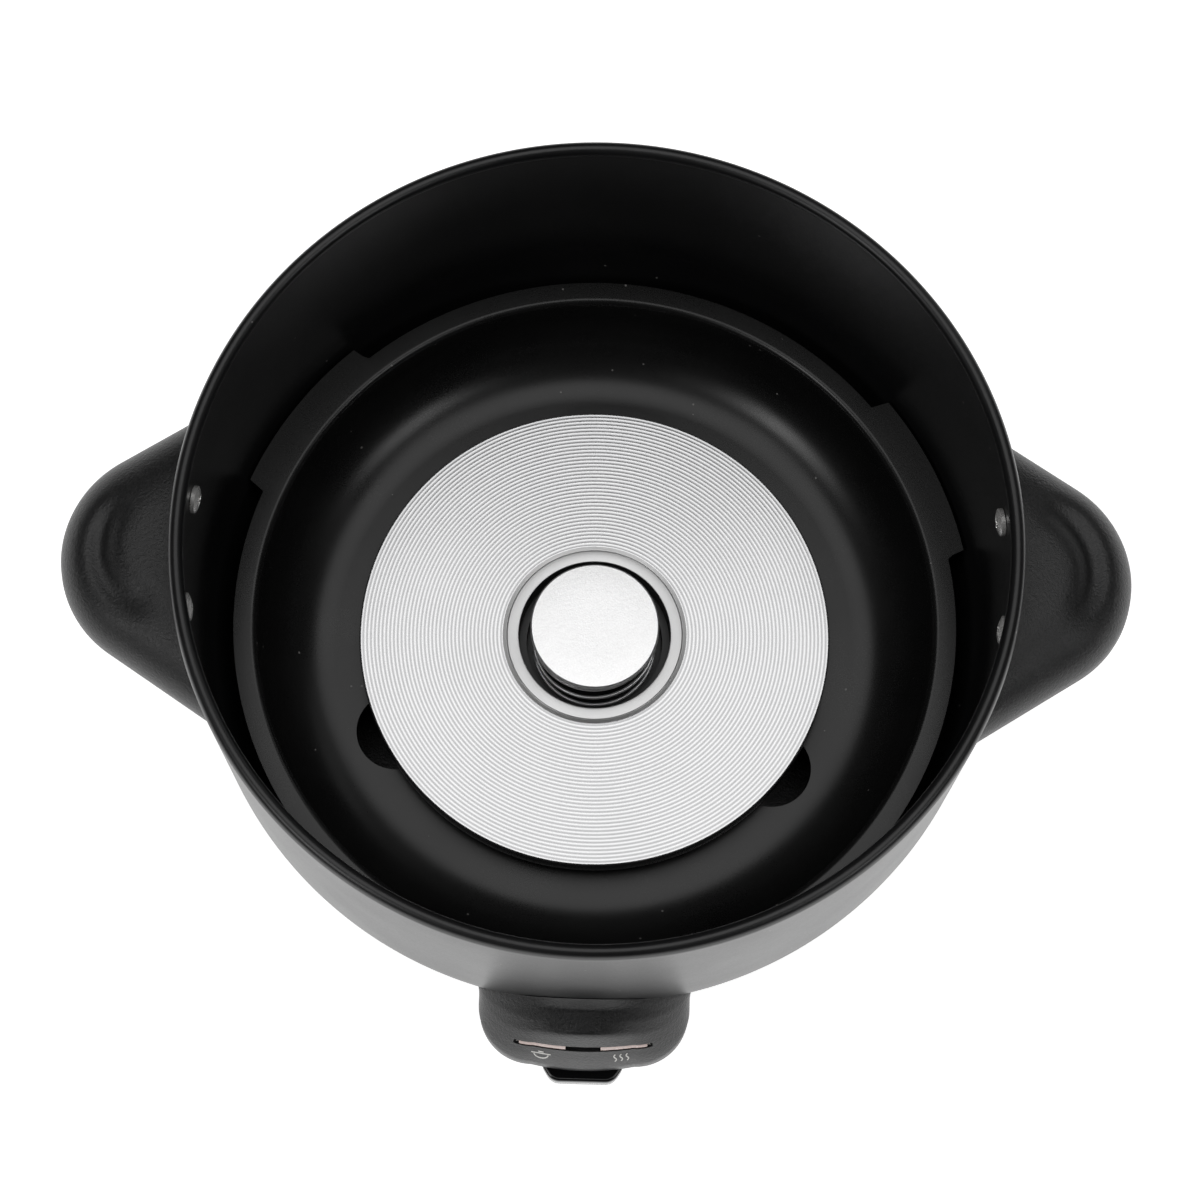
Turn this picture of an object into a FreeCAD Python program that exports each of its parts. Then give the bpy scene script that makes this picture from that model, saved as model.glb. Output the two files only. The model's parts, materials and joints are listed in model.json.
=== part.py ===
"""Base unit of a drum-shaped rice cooker: shell, well, heating plate, sensor, cook switch, side handles.

The frame is millimetres, +Z up. The origin is where the body's axis meets the plane under the feet.
The control box faces -Y, the power inlet faces +Y, and the two handles lie along X.
"""
import FreeCAD, Part

import math
import os

import Sketcher
from FreeCAD import Placement, Rotation, Vector

doc = FreeCAD.newDocument("cooker_base")
sheet = doc.addObject("Spreadsheet::Sheet", "Sizes")

# Driving dimensions: alias, value, what it is. Lengths are millimetres and angles are degrees.
DRIVING = [
    ("rim_height", 165.0, "top of the rolled rim above the worktop"),
    ("shell_radius", 120.0, "outside of the drum's straight wall"),
    ("shell_wall", 0.8, "sheet of the drum"),
    ("bead_roll", 2.2, "radius of the rolled rim"),
    ("turn_in_height", 90.0, "height where the drum starts to curve in"),
    ("turn_in_radius", 60.0, "radius of the drum's lower curve"),
    ("turn_in_angle", 55.0, "how far the lower curve turns"),
    ("skirt_depth", 6.8, "straight skirt under the lower curve"),
    ("fit_gap", 0.25, "clearance between pieces that sit in each other"),
    ("cover_wall", 2.5, "moulded wall of the base cover"),
    ("cover_bevel", 4.0, "bevel round the cover's lower edge"),
    ("cover_lap", 9.0, "how far the cover's rim reaches up inside the skirt"),
    ("foot_height", 8.0, "rubber foot"),
    ("foot_radius", 9.0, "rubber foot"),
    ("foot_neck", 3.0, "neck of the foot in the cover"),
    ("liner_floor", 47.0, "underside of the liner's floor"),
    ("liner_wall", 0.8, "sheet of the liner"),
    ("liner_radius", 104.0, "inside of the liner's wall"),
    ("liner_corner", 22.0, "inner radius where the liner's floor turns up"),
    ("liner_depth", 32.0, "lip above the floor's underside"),
    ("lip_roll", 2.0, "radius of the liner's lip"),
    ("flange_width", 5.3, "flat flange outside the lip"),
    ("lug_gap", 2.6, "air between a lug and the drum"),
    ("lug_half_angle", 13.7, "half width of a lug"),
    ("liner_turn", -4.2, "how far the liner is turned from the front"),
    ("lobe_half_width", 12.5, "rounded opening in the liner's floor"),
    ("lobe_reach", 81.0, "outer end of a lobe"),
    ("lobe_start", 44.0, "inner end of a lobe"),
    ("well_hole", 37.0, "hole in the middle of the liner's floor"),
    ("plate_standoff", 3.6, "air between liner and plate"),
    ("plate_thick", 9.2, "heating plate"),
    ("plate_radius", 73.8, "heating plate"),
    ("plate_hole", 23.8, "hole for the sensor"),
    ("plate_dish", 28.9, "outer edge of the recess round the hole"),
    ("dish_floor", 27.7, "outer edge of the recess's floor"),
    ("dish_step", 1.3, "depth of the recess at its outer edge"),
    ("dish_drop", 2.0, "depth of the recess at the hole"),
    ("plate_edge", 0.6, "bevel on the plate's edge"),
    ("spacer_circle", 42.5, "circle of the plate's spacers"),
    ("spacer_radius", 4.0, "plate spacer"),
    ("element_circle", 55.0, "centre line of the heating element"),
    ("element_tube", 3.3, "radius of the element's sheath"),
    ("element_bend", 9.0, "bend at the element's ends"),
    ("element_tail", 8.0, "straight end below the bend"),
    ("cap_radius", 20.0, "sensor cap"),
    ("cap_stand", 9.6, "cap above the plate"),
    ("cap_skirt", 3.4, "height of the cap's skirt"),
    ("cap_sheet", 1.0, "sheet of the cap"),
    ("case_radius", 12.5, "outside of the sensor's tube"),
    ("case_wall", 1.0, "sensor's tube"),
    ("running_gap", 0.05, "radial clearance of guides and pivots"),
    ("bracket_depth", 7.4, "underside of the sensor bracket's floor below the plate"),
    ("bracket_sheet", 1.2, "sheet of the sensor bracket"),
    ("bracket_cup", 21.5, "inside of the bracket's cup"),
    ("bracket_flange", 33.0, "flange under the plate"),
    ("spring_wire", 0.55, "radius of the cap spring's wire"),
    ("spring_radius", 19.1, "centre line of the cap spring"),
    ("spring_turns", 3.0, "turns of the cap spring"),
    ("ferrite_thick", 4.5, "ferrite disc under the cap"),
    ("magnet_radius", 7.0, "magnet"),
    ("magnet_thick", 5.0, "magnet"),
    ("magnet_drop", 3.0, "underside of the magnet's cup below the sensor's tube"),
    ("rod_radius", 1.8, "lifting rod"),
    ("arm_width", 12.0, "switch lever"),
    ("arm_sheet", 2.0, "switch lever"),
    ("arm_height", 27.0, "underside of the lever's arm"),
    ("pivot_distance", 58.0, "pivot in front of the axis"),
    ("pivot_height", 25.0, "pivot above the worktop"),
    ("pivot_radius", 1.5, "pivot pin"),
    ("lever_swing", 6.0, "how far the lever turns when pressed"),
    ("key_width", 24.6, "lever's key at its root"),
    ("key_flat", 19.0, "flat front of the key"),
    ("key_thick", 8.0, "key"),
    ("key_reach", 19.3, "front of the key outside the drum"),
    ("key_height", 50.0, "underside of the key at rest"),
    ("slot_width", 32.0, "slot in the control box"),
    ("box_width", 63.0, "control box"),
    ("box_reach", 16.4, "front of the control box outside the drum"),
    ("box_top", 96.0, "crown of the control box at the drum"),
    ("box_arch", 17.0, "how far the box's top falls from the crown to its sides"),
    ("box_bottom", 10.5, "underside of the control box"),
    ("box_wall", 2.2, "moulded wall of the control box"),
    ("box_corner", 16.0, "vertical corners of the control box"),
    ("box_bow", 1.6, "how far the box's front bows out"),
    ("window_inner", 5.0, "inner end of a lamp window"),
    ("window_outer", 19.0, "outer end of a lamp window"),
    ("window_low", 74.0, "lower edge of the lamp windows"),
    ("window_tall", 4.5, "height of the lamp windows"),
    ("lamp_radius", 2.5, "indicator lamp"),
    ("bulb_length", 11.0, "length of an indicator lamp"),
    ("handle_reach", 36.0, "handle outside the drum"),
    ("handle_nose", 34.0, "radius of the handle's nose"),
    ("handle_flank", 57.0, "angle where the nose meets the flank"),
    ("handle_thick", 19.0, "handle"),
    ("handle_dome", 15.0, "how far the handle's top falls towards its edge"),
    ("handle_wall", 3.0, "moulded wall of the handle"),
    ("handle_drop", 30.7, "handle screws under the rim"),
    ("handle_spread", 7.9, "handle screws each side of the X axis, by angle"),
    ("screw_head", 3.5, "radius of a pan head"),
    ("screw_head_tall", 2.2, "height of a pan head"),
    ("screw_shank", 1.75, "radius of a screw"),
    ("inlet_width", 27.4, "body of the power inlet"),
    ("inlet_tall", 20.0, "body of the power inlet"),
    ("inlet_reach", 21.0, "face of the power inlet outside the cover"),
    ("recess_width", 24.0, "recess for the lead's connector"),
    ("recess_tall", 16.3, "recess for the lead's connector"),
    ("recess_depth", 17.0, "recess for the lead's connector"),
    ("lead_radius", 1.3, "insulated wire inside the base"),
]
for row, (alias, value, meaning) in enumerate(DRIVING, start=1):
    sheet.set(f"A{row}", alias)
    sheet.set(f"B{row}", f"{value}")
    sheet.set(f"C{row}", meaning)
    sheet.setAlias(f"B{row}", alias)
doc.recompute()


class Size:
    """A length with its number and the expression that gives it from the sheet."""

    def __init__(self, value, text):
        self.value = value
        self.text = text

    def __add__(self, other):
        other = size(other)
        return Size(self.value + other.value, f"({self.text} + {other.text})")

    def __radd__(self, other):
        return size(other) + self

    def __sub__(self, other):
        other = size(other)
        return Size(self.value - other.value, f"({self.text} - {other.text})")

    def __rsub__(self, other):
        return size(other) - self

    def __mul__(self, other):
        other = size(other)
        return Size(self.value * other.value, f"({self.text} * {other.text})")

    def __rmul__(self, other):
        return size(other) * self

    def __truediv__(self, other):
        other = size(other)
        return Size(self.value / other.value, f"({self.text} / {other.text})")

    def __neg__(self):
        return 0 - self


def size(thing):
    """A Size from a plain number, or the Size itself."""
    return thing if isinstance(thing, Size) else Size(float(thing), f"{float(thing)}")


def dim(alias):
    """The sheet's value of that name."""
    return Size(float(getattr(sheet, alias)), f"Sizes.{alias}")


def root(thing):
    return Size(math.sqrt(thing.value), f"sqrt({thing.text})")


def sine(angle):
    angle = size(angle)
    return Size(math.sin(math.radians(angle.value)), f"sin({angle.text})")


def cosine(angle):
    angle = size(angle)
    return Size(math.cos(math.radians(angle.value)), f"cos({angle.text})")


def across(radius, offset):
    """Distance from the axis plane to a circle of that radius, at that offset from the other plane."""
    return root(radius * radius - offset * offset)


# Sizes that follow from the driving ones.
rim = dim("rim_height")
shell_r = dim("shell_radius")
shell_in = shell_r - dim("shell_wall")
gap = dim("fit_gap")
turn_z = dim("turn_in_height")
turn_r = dim("turn_in_radius")
turn_a = dim("turn_in_angle")
turn_centre = shell_r - turn_r
skirt_r = turn_centre + turn_r * cosine(turn_a)
skirt_top = turn_z - turn_r * sine(turn_a)
skirt_bottom = skirt_top - dim("skirt_depth")
cover_wall = dim("cover_wall")
cover_r = skirt_r + 0.8
cover_lap_r = skirt_r - dim("shell_wall") - gap
cover_z = dim("foot_height")
cover_floor = cover_z + cover_wall
foot_circle = cover_r - 17
liner_floor = dim("liner_floor")
liner_wall = dim("liner_wall")
liner_top = liner_floor + liner_wall
liner_r = dim("liner_radius")
lip_z = liner_floor + dim("liner_depth")
flange_r = liner_r + dim("lip_roll") + dim("flange_width")
lug_r = shell_in - dim("lug_gap")
liner_turn = dim("liner_turn")
plate_low = liner_top + dim("plate_standoff")
plate_top = plate_low + dim("plate_thick")
plate_r = dim("plate_radius")
cap_top = plate_top + dim("cap_stand")
cap_r = dim("cap_radius")
cap_under = cap_top - dim("cap_sheet")
cap_low = cap_top - dim("cap_skirt")
case_r = dim("case_radius")
bracket_floor = plate_low - dim("bracket_depth")
bracket_floor_top = bracket_floor + dim("bracket_sheet")
case_low = bracket_floor - 1
ferrite_low = cap_under - 1.5 - dim("ferrite_thick")
magnet_seat = case_low - dim("magnet_drop")
magnet_sheet = size(1.0)
rod_r = dim("rod_radius")
arm_z = dim("arm_height")
arm_t = dim("arm_sheet")
arm_half = dim("arm_width") / 2
pivot_y = -dim("pivot_distance")
pivot_z = dim("pivot_height")
pivot_r = dim("pivot_radius")
frame_in = arm_half + 2.3
frame_t = size(1.5)
frame_z = cover_floor + 1.5
switch_y = pivot_y - 20
box_front = -(shell_r + dim("box_reach"))
box_half = dim("box_width") / 2
box_wall = dim("box_wall")
box_z = dim("box_bottom")
box_top = dim("box_top")
key_front = -(shell_r + dim("key_reach"))
key_z = dim("key_height")
key_top = key_z + dim("key_thick")
key_mid = key_z + dim("key_thick") / 2
web_y = -(shell_r - 7)
handle_z = rim - dim("handle_drop")
handle_low = handle_z - dim("handle_thick") / 2
handle_tip = shell_r + dim("handle_reach")
inlet_face = cover_r + dim("inlet_reach")
inlet_z = (cover_z + skirt_bottom) / 2
head_r = dim("screw_head")
head_t = dim("screw_head_tall")
shank_r = dim("screw_shank")

LOBE_ANGLES = [liner_turn + 90 + 120 * k for k in range(3)]
LUG_ANGLES = [liner_turn + 30 + 120 * k for k in range(3)]
POST_ANGLES = [30, 150, 232, 308]
POST_CIRCLE = size(68)
FOOT_ANGLES = [45, 135, 225, 315]
SIDES = (-1, 1)

nodes = []


def node(label, thing):
    """Name a finished piece; its label is the file's name."""
    thing.Label = label
    nodes.append(thing)
    return thing


def bind(thing, prop, value):
    """Tie one property of a feature to the sheet."""
    thing.setExpression(prop, size(value).text)


def place(thing, at, turn=None):
    """Put a feature at a bound position, after an optional fixed turn."""
    spots = [size(v) for v in at]
    thing.Placement = Placement(Vector(*[v.value for v in spots]), turn or Rotation())
    for letter, spot in zip("xyz", spots):
        if spot.text not in ("0.0",):
            bind(thing, f"Placement.Base.{letter}", spot)
    return thing


ALONG = {
    "X": Rotation(Vector(0, 1, 0), 90),
    "-X": Rotation(Vector(0, 1, 0), -90),
    "Y": Rotation(Vector(1, 0, 0), -90),
    "-Y": Rotation(Vector(1, 0, 0), 90),
    "Z": Rotation(),
    "-Z": Rotation(Vector(1, 0, 0), 180),
}


def outward(angle):
    """Turn that lays the Z axis along a horizontal direction at that angle from X."""
    return Rotation(Vector(0, 0, 1), size(angle).value) * ALONG["X"]


def rod(name, radius, length, at=(0, 0, 0), turn=None):
    """Round bar from a point, along Z unless turned."""
    thing = doc.addObject("Part::Cylinder", name)
    thing.Radius = size(radius).value
    thing.Height = size(length).value
    bind(thing, "Radius", radius)
    bind(thing, "Height", length)
    return place(thing, at, turn)


def block(name, low, high):
    """Box between two corners."""
    thing = doc.addObject("Part::Box", name)
    for prop, a, b in zip(("Length", "Width", "Height"), low, high):
        bind(thing, prop, size(b) - size(a))
    return place(thing, low)


def cone(name, r_low, r_high, length, at=(0, 0, 0), turn=None):
    thing = doc.addObject("Part::Cone", name)
    bind(thing, "Radius1", r_low)
    bind(thing, "Radius2", r_high)
    bind(thing, "Height", length)
    return place(thing, at, turn)


def join(name, pieces):
    """Union of several features, or a group of separate solids where they do not touch."""
    if len(pieces) == 1:
        return pieces[0]
    thing = doc.addObject("Part::MultiFuse", name)
    thing.Shapes = pieces
    thing.Refine = False
    return thing


def cut(name, base, tools):
    thing = doc.addObject("Part::Cut", name)
    thing.Base = base
    thing.Tool = join(f"{name}_tools", tools)
    thing.Refine = False
    return thing


def common(name, first, second):
    thing = doc.addObject("Part::Common", name)
    thing.Base = first
    thing.Tool = second
    thing.Refine = False
    return thing


def ring(name, outer, inner, length, at=(0, 0, 0), turn=None):
    """Tube or washer."""
    base = rod(f"{name}_outer", outer, length, at, turn)
    return cut(name, base, [rod(f"{name}_inner", inner, length, at, turn)])


def corner(x, y, arc=None, side=1):
    """One corner of an outline. arc is the radius of the edge that leaves it, side 1 turns left."""
    return size(x), size(y), None if arc is None else size(arc), side


def edge_shape(first, second, radius, side):
    """Straight edge, or the shorter arc of that radius, between two points."""
    a, b = Vector(*first, 0), Vector(*second, 0)
    if radius is None:
        return Part.LineSegment(a, b)
    half = (b - a) * 0.5
    reach = math.sqrt(max(radius**2 - half.Length**2, 0.0))
    normal = Vector(-half.y, half.x, 0).normalize() * side
    centre = a + half + normal * reach
    middle = centre - normal * radius
    return Part.Arc(a, middle, b)


def pin_point(sketch, geometry, end, x, y):
    """Fix one point of a sketch at a bound place."""
    for kind, value in (("DistanceX", x), ("DistanceY", y)):
        index = sketch.addConstraint(Sketcher.Constraint(kind, -1, 1, geometry, end, value.value))
        sketch.setExpression(f"Constraints[{index}]", value.text)


def fix_radius(sketch, geometry, radius):
    index = sketch.addConstraint(Sketcher.Constraint("Radius", geometry, radius.value))
    sketch.setExpression(f"Constraints[{index}]", radius.text)


def draw(body, name, plane, outlines, lift=0):
    """Sketch of closed outlines on one of the body's origin planes, lifted along its normal."""
    sketch = body.newObject("Sketcher::SketchObject", name)
    role = [part for part in body.Origin.OriginFeatures if part.Role == f"{plane}_Plane"][0]
    sketch.AttachmentSupport = [(role, "")]
    sketch.MapMode = "FlatFace"
    lift = size(lift)
    sketch.AttachmentOffset = Placement(Vector(0, 0, lift.value), Rotation())
    if lift.text != "0.0":
        bind(sketch, "AttachmentOffset.Base.z", lift)
    for outline in outlines:
        first = sketch.GeometryCount
        if len(outline) == 1:
            x, y, radius, _ = outline[0]
            sketch.addGeometry(Part.Circle(Vector(x.value, y.value, 0), Vector(0, 0, 1), radius.value))
            pin_point(sketch, first, 3, x, y)
            fix_radius(sketch, first, radius)
            continue
        turned = []
        for k, (x, y, radius, side) in enumerate(outline):
            after = outline[(k + 1) % len(outline)]
            shape = edge_shape(
                (x.value, y.value), (after[0].value, after[1].value), radius and radius.value, side
            )
            sketch.addGeometry(shape)
            # A sketch keeps every arc counter-clockwise, so a right-hand arc has its ends swapped.
            turned.append(radius is not None and side < 0)
        for k, (x, y, radius, side) in enumerate(outline):
            before = (k - 1) % len(outline)
            start = 2 if turned[k] else 1
            end = 1 if turned[before] else 2
            pin_point(sketch, first + k, start, x, y)
            sketch.addConstraint(Sketcher.Constraint("Coincident", first + before, end, first + k, start))
            if radius is not None:
                fix_radius(sketch, first + k, radius)
    return sketch


def turned_piece(name, outline, holes=()):
    """Solid of revolution about Z, from an outline in the XZ plane."""
    body = doc.addObject("PartDesign::Body", name)
    sketch = draw(body, f"{name}_outline", "XZ", [outline, *holes])
    feature = body.newObject("PartDesign::Revolution", f"{name}_turned")
    feature.Profile = sketch
    feature.ReferenceAxis = (sketch, ["V_Axis"])
    feature.Angle = 360
    body.Tip = feature
    return body


def raised_piece(name, outlines, low, high, plane="XY"):
    """Solid between two levels, from outlines in the XY, XZ or YZ plane."""
    body = doc.addObject("PartDesign::Body", name)
    # The XZ plane looks along -Y, so its levels count the other way.
    lift = -size(high) if plane == "XZ" else size(low)
    sketch = draw(body, f"{name}_outline", plane, outlines, lift)
    feature = body.newObject("PartDesign::Pad", f"{name}_raised")
    feature.Profile = sketch
    bind(feature, "Length", size(high) - size(low))
    body.Tip = feature
    return body


def arc_points(radius, middle, half_angle):
    """Both ends of an arc about the axis, centred on a direction."""
    low = middle - half_angle
    high = middle + half_angle
    return (radius * cosine(low), radius * sine(low)), (radius * cosine(high), radius * sine(high))


def sector(name, inner, outer, middle, half_angle, low, high):
    """Part of a flat ring."""
    (ax, ay), (bx, by) = arc_points(size(outer), middle, half_angle)
    (cx, cy), (dx, dy) = arc_points(size(inner), middle, half_angle)
    outline = [corner(ax, ay, outer), corner(bx, by), corner(dx, dy, inner, -1), corner(cx, cy)]
    return raised_piece(name, [outline], low, high)


def on_circle(radius, angle):
    radius = size(radius)
    return radius * cosine(angle), radius * sine(angle)


def pan_screw(name, length, at, turn):
    """Cross-recess pan-head screw. Its head's underside is at the point, and its shank runs on from it."""
    shank = rod(f"{name}_shank", shank_r, length, at, turn)
    back = turn.multVec(Vector(0, 0, -1))
    step = [size(a) + head_t * component for a, component in zip(at, back)]
    head = cone(f"{name}_head", head_r * 0.82, head_r, head_t, step, turn)
    body = join(f"{name}_body", [shank, head])
    recess = []
    for k in range(2):
        bar = doc.addObject("Part::Box", f"{name}_recess{k}")
        bind(bar, "Length", head_r * 1.2)
        bind(bar, "Width", head_r * 0.24)
        bind(bar, "Height", head_t * 0.5)
        local = Rotation(Vector(0, 0, 1), 90 * k + 45)
        corner_offset = Vector(-head_r.value * 0.6, -head_r.value * 0.12, 0)
        offset = (turn * local).multVec(corner_offset)
        spot = [a + v for a, v in zip(step, (offset.x, offset.y, offset.z))]
        recess.append(place(bar, spot, turn * local))
    return cut(name, body, recess)


def along(route, turn_radius=None):
    """Wire through the points of a route: straight runs joined by tangent arcs."""
    points = [Vector(*[size(v).value for v in point]) for point in route]
    edges = []
    start = points[0]
    for before, here, after in zip(points, points[1:], points[2:]):
        come = here - before
        leave = after - here
        bend = come.getAngle(leave)
        shorter = min(come.Length, leave.Length)
        trim = min(0.45 * shorter, turn_radius * math.tan(bend / 2) if turn_radius else shorter)
        first = here - Vector(come).normalize() * trim
        last = here + Vector(leave).normalize() * trim
        radius = trim / math.tan(bend / 2)
        inward = (Vector(leave).normalize() - Vector(come).normalize()).normalize()
        centre = here + inward * (radius / math.cos(bend / 2))
        middle = centre - inward * radius
        edges.append(Part.LineSegment(start, first).toShape())
        edges.append(Part.Arc(first, middle, last).toShape())
        start = last
    edges.append(Part.LineSegment(start, points[-1]).toShape())
    return Part.Wire(edges)


def tube_along(name, route, radius, turn_radius=None):
    """Round wire or tube whose shape follows a route."""
    path = along(route, turn_radius)
    tangent = path.Edges[0].tangentAt(path.Edges[0].FirstParameter)
    start = path.Edges[0].Vertexes[0].Point
    section = Part.Wire([Part.Circle(start, tangent, size(radius).value).toShape()])
    thing = doc.addObject("Part::Feature", name)
    thing.Shape = path.makePipeShell([section], True, True)
    return thing


# ---------------------------------------------------------------- drum and base


def curve_end(inset):
    """Height where the lower curve, drawn in by a wall, meets the skirt drawn in by as much."""
    return turn_z - across(turn_r - inset, skirt_r - inset - turn_centre)


def outer_shell():
    """Drawn drum with a rim rolled to the inside."""
    roll = dim("bead_roll")
    centre_r = shell_r - roll
    centre_z = rim - roll
    reach = roll - dim("shell_wall")
    bead = [
        corner(shell_r, centre_z, roll),
        corner(centre_r, rim, roll),
        corner(centre_r - roll, centre_z, roll),
        corner(centre_r, centre_z - roll, roll),
        corner(shell_in, centre_z - root(roll * roll - reach * reach)),
    ]
    wall = dim("shell_wall")
    outline = [
        corner(skirt_r, skirt_bottom),
        corner(skirt_r, skirt_top, turn_r),
        corner(shell_r, turn_z),
        *bead,
        corner(shell_in, turn_z, turn_r - wall, -1),
        corner(skirt_r - wall, curve_end(wall)),
        corner(skirt_r - wall, skirt_bottom),
    ]
    drum = turned_piece("shell_drum", outline)
    tools = []
    for side in (0, 180):
        for sign in SIDES:
            angle = side + sign * dim("handle_spread")
            x, y = on_circle(shell_r - 10, angle)
            tools.append(rod("shell_handle_hole", shank_r + gap, 20, (x, y, handle_z), outward(angle)))
    for sign in SIDES:
        angle = 270 + sign * BOX_SCREW_ANGLE
        x, y = on_circle(shell_r - 10, angle)
        tools.append(rod("shell_box_hole", shank_r + gap, 20, (x, y, BOX_SCREW_Z), outward(angle)))
    tools.append(block("shell_lamp_window", (-8, -(shell_r + 5), 66), (8, -(shell_r - 20), 78)))
    node("outer_shell", cut("shell_pierced", drum, tools))


BOX_SCREW_ANGLE = size(11)
BOX_SCREW_Z = turn_z - 5


def base_cover():
    """Moulded dish that closes the bottom, with a boss for the inlet and a notch for the lever."""
    bevel = dim("cover_bevel")
    inner = cover_lap_r - cover_wall
    outline = [
        corner(0, cover_z),
        corner(cover_r - bevel, cover_z),
        corner(cover_r, cover_z + bevel),
        corner(cover_r, skirt_bottom - gap),
        corner(cover_lap_r, skirt_bottom - gap),
        corner(cover_lap_r, skirt_bottom + dim("cover_lap")),
        corner(inner, skirt_bottom + dim("cover_lap")),
        corner(inner, cover_floor),
        corner(0, cover_floor),
    ]
    dish = turned_piece("cover_dish", outline)
    boss_half = dim("inlet_width") / 2 + 5
    boss_top = skirt_bottom - gap
    boss = block("cover_boss", (-boss_half, inner + 1, cover_z), (boss_half, inlet_face - 2.5, boss_top))
    pads = []
    for sign in SIDES:
        pads.append(rod("cover_pad", 4, 2, (sign * FRAME_PAD_X, FRAME_PAD_Y, cover_floor - 0.5)))
    solid = join("cover_solid", [dish, boss, *pads])
    tools = [
        block(
            "cover_inlet_bore",
            (-dim("inlet_width") / 2 - gap, inner - 5, inlet_z - dim("inlet_tall") / 2 - gap),
            (dim("inlet_width") / 2 + gap, inlet_face + 5, inlet_z + dim("inlet_tall") / 2 + gap),
        ),
        block(
            "cover_notch",
            (-arm_half - 9, -(cover_r + 5), arm_z - 12),
            (arm_half + 3, -(cover_r - 10), skirt_bottom + dim("cover_lap") + 5),
        ),
    ]
    for angle in FOOT_ANGLES:
        x, y = on_circle(foot_circle, angle)
        tools.append(rod("cover_foot_hole", dim("foot_neck") + gap, 10, (x, y, cover_z - 2)))
    for angle in POST_ANGLES:
        x, y = on_circle(POST_CIRCLE, angle)
        tools.append(rod("cover_screw_hole", shank_r + gap, 10, (x, y, cover_z - 2)))
        tools.append(rod("cover_screw_sink", head_r + gap * 2, 1.2, (x, y, cover_z - 0.2)))
    for sign in SIDES:
        tools.append(rod("cover_pilot", shank_r + 0.02, 5, (sign * FRAME_PAD_X, FRAME_PAD_Y, cover_z + 1)))
    for k in range(12):
        angle = 30 * k
        slot = doc.addObject("Part::Box", "cover_vent")
        bind(slot, "Length", VENT_LENGTH)
        slot.Width = VENT_WIDTH
        slot.Height = 10
        turn = Rotation(Vector(0, 0, 1), angle)
        x, y = on_circle(VENT_START, angle)
        offset = turn.multVec(Vector(0, -VENT_WIDTH / 2, 0))
        tools.append(place(slot, (x + offset.x, y + offset.y, cover_z - 2), turn))
    node("base_cover", cut("cover_pierced", solid, tools))


FRAME_PAD_X = frame_in + 7
FRAME_PAD_Y = pivot_y + 10
VENT_START = size(24)
VENT_LENGTH = size(20)
VENT_WIDTH = 3.0


def feet():
    """Rubber feet, each held by a neck through the cover."""
    foot_r = dim("foot_radius")
    neck = dim("foot_neck")
    pieces = []
    for k, angle in enumerate(FOOT_ANGLES):
        at = on_circle(foot_circle, angle)
        pad = cone(f"foot_pad{k}", foot_r - 1, foot_r, cover_z - gap, (*at, 0))
        stem = rod(f"foot_stem{k}", neck, cover_wall + 2 * gap, (*at, cover_z - gap))
        head = cone(f"foot_head{k}", neck + 1.4, neck - 0.6, 3, (*at, cover_floor + gap))
        pieces.append(join(f"foot{k}", [pad, stem, head]))
    node("feet", join("feet_group", pieces))


def posts_and_screws():
    """Posts that carry the liner on the cover, each with a staked spigot, and their screws."""
    posts, screws = [], []
    for k, angle in enumerate(POST_ANGLES):
        at = on_circle(POST_CIRCLE, angle)
        bar = rod(f"post_bar{k}", 4, liner_floor - cover_floor, (*at, cover_floor))
        spigot = rod(f"post_spigot{k}", 2.2, liner_wall + 0.1, (*at, liner_floor))
        stake = cone(f"post_stake{k}", 3.2, 2.4, 0.9, (*at, liner_top + 0.02))
        pilot = rod(f"post_pilot{k}", shank_r + 0.02, 16, (*at, cover_floor - 1))
        posts.append(cut(f"post{k}", join(f"post_solid{k}", [bar, spigot, stake]), [pilot]))
        screws.append(pan_screw(f"base_screw{k}", 14, (*at, cover_z + 1), ALONG["Z"]))
    node("liner_posts", join("posts_group", posts))
    node("base_screws", join("base_screws_group", screws))


# ---------------------------------------------------------------- liner, plate and element


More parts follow.
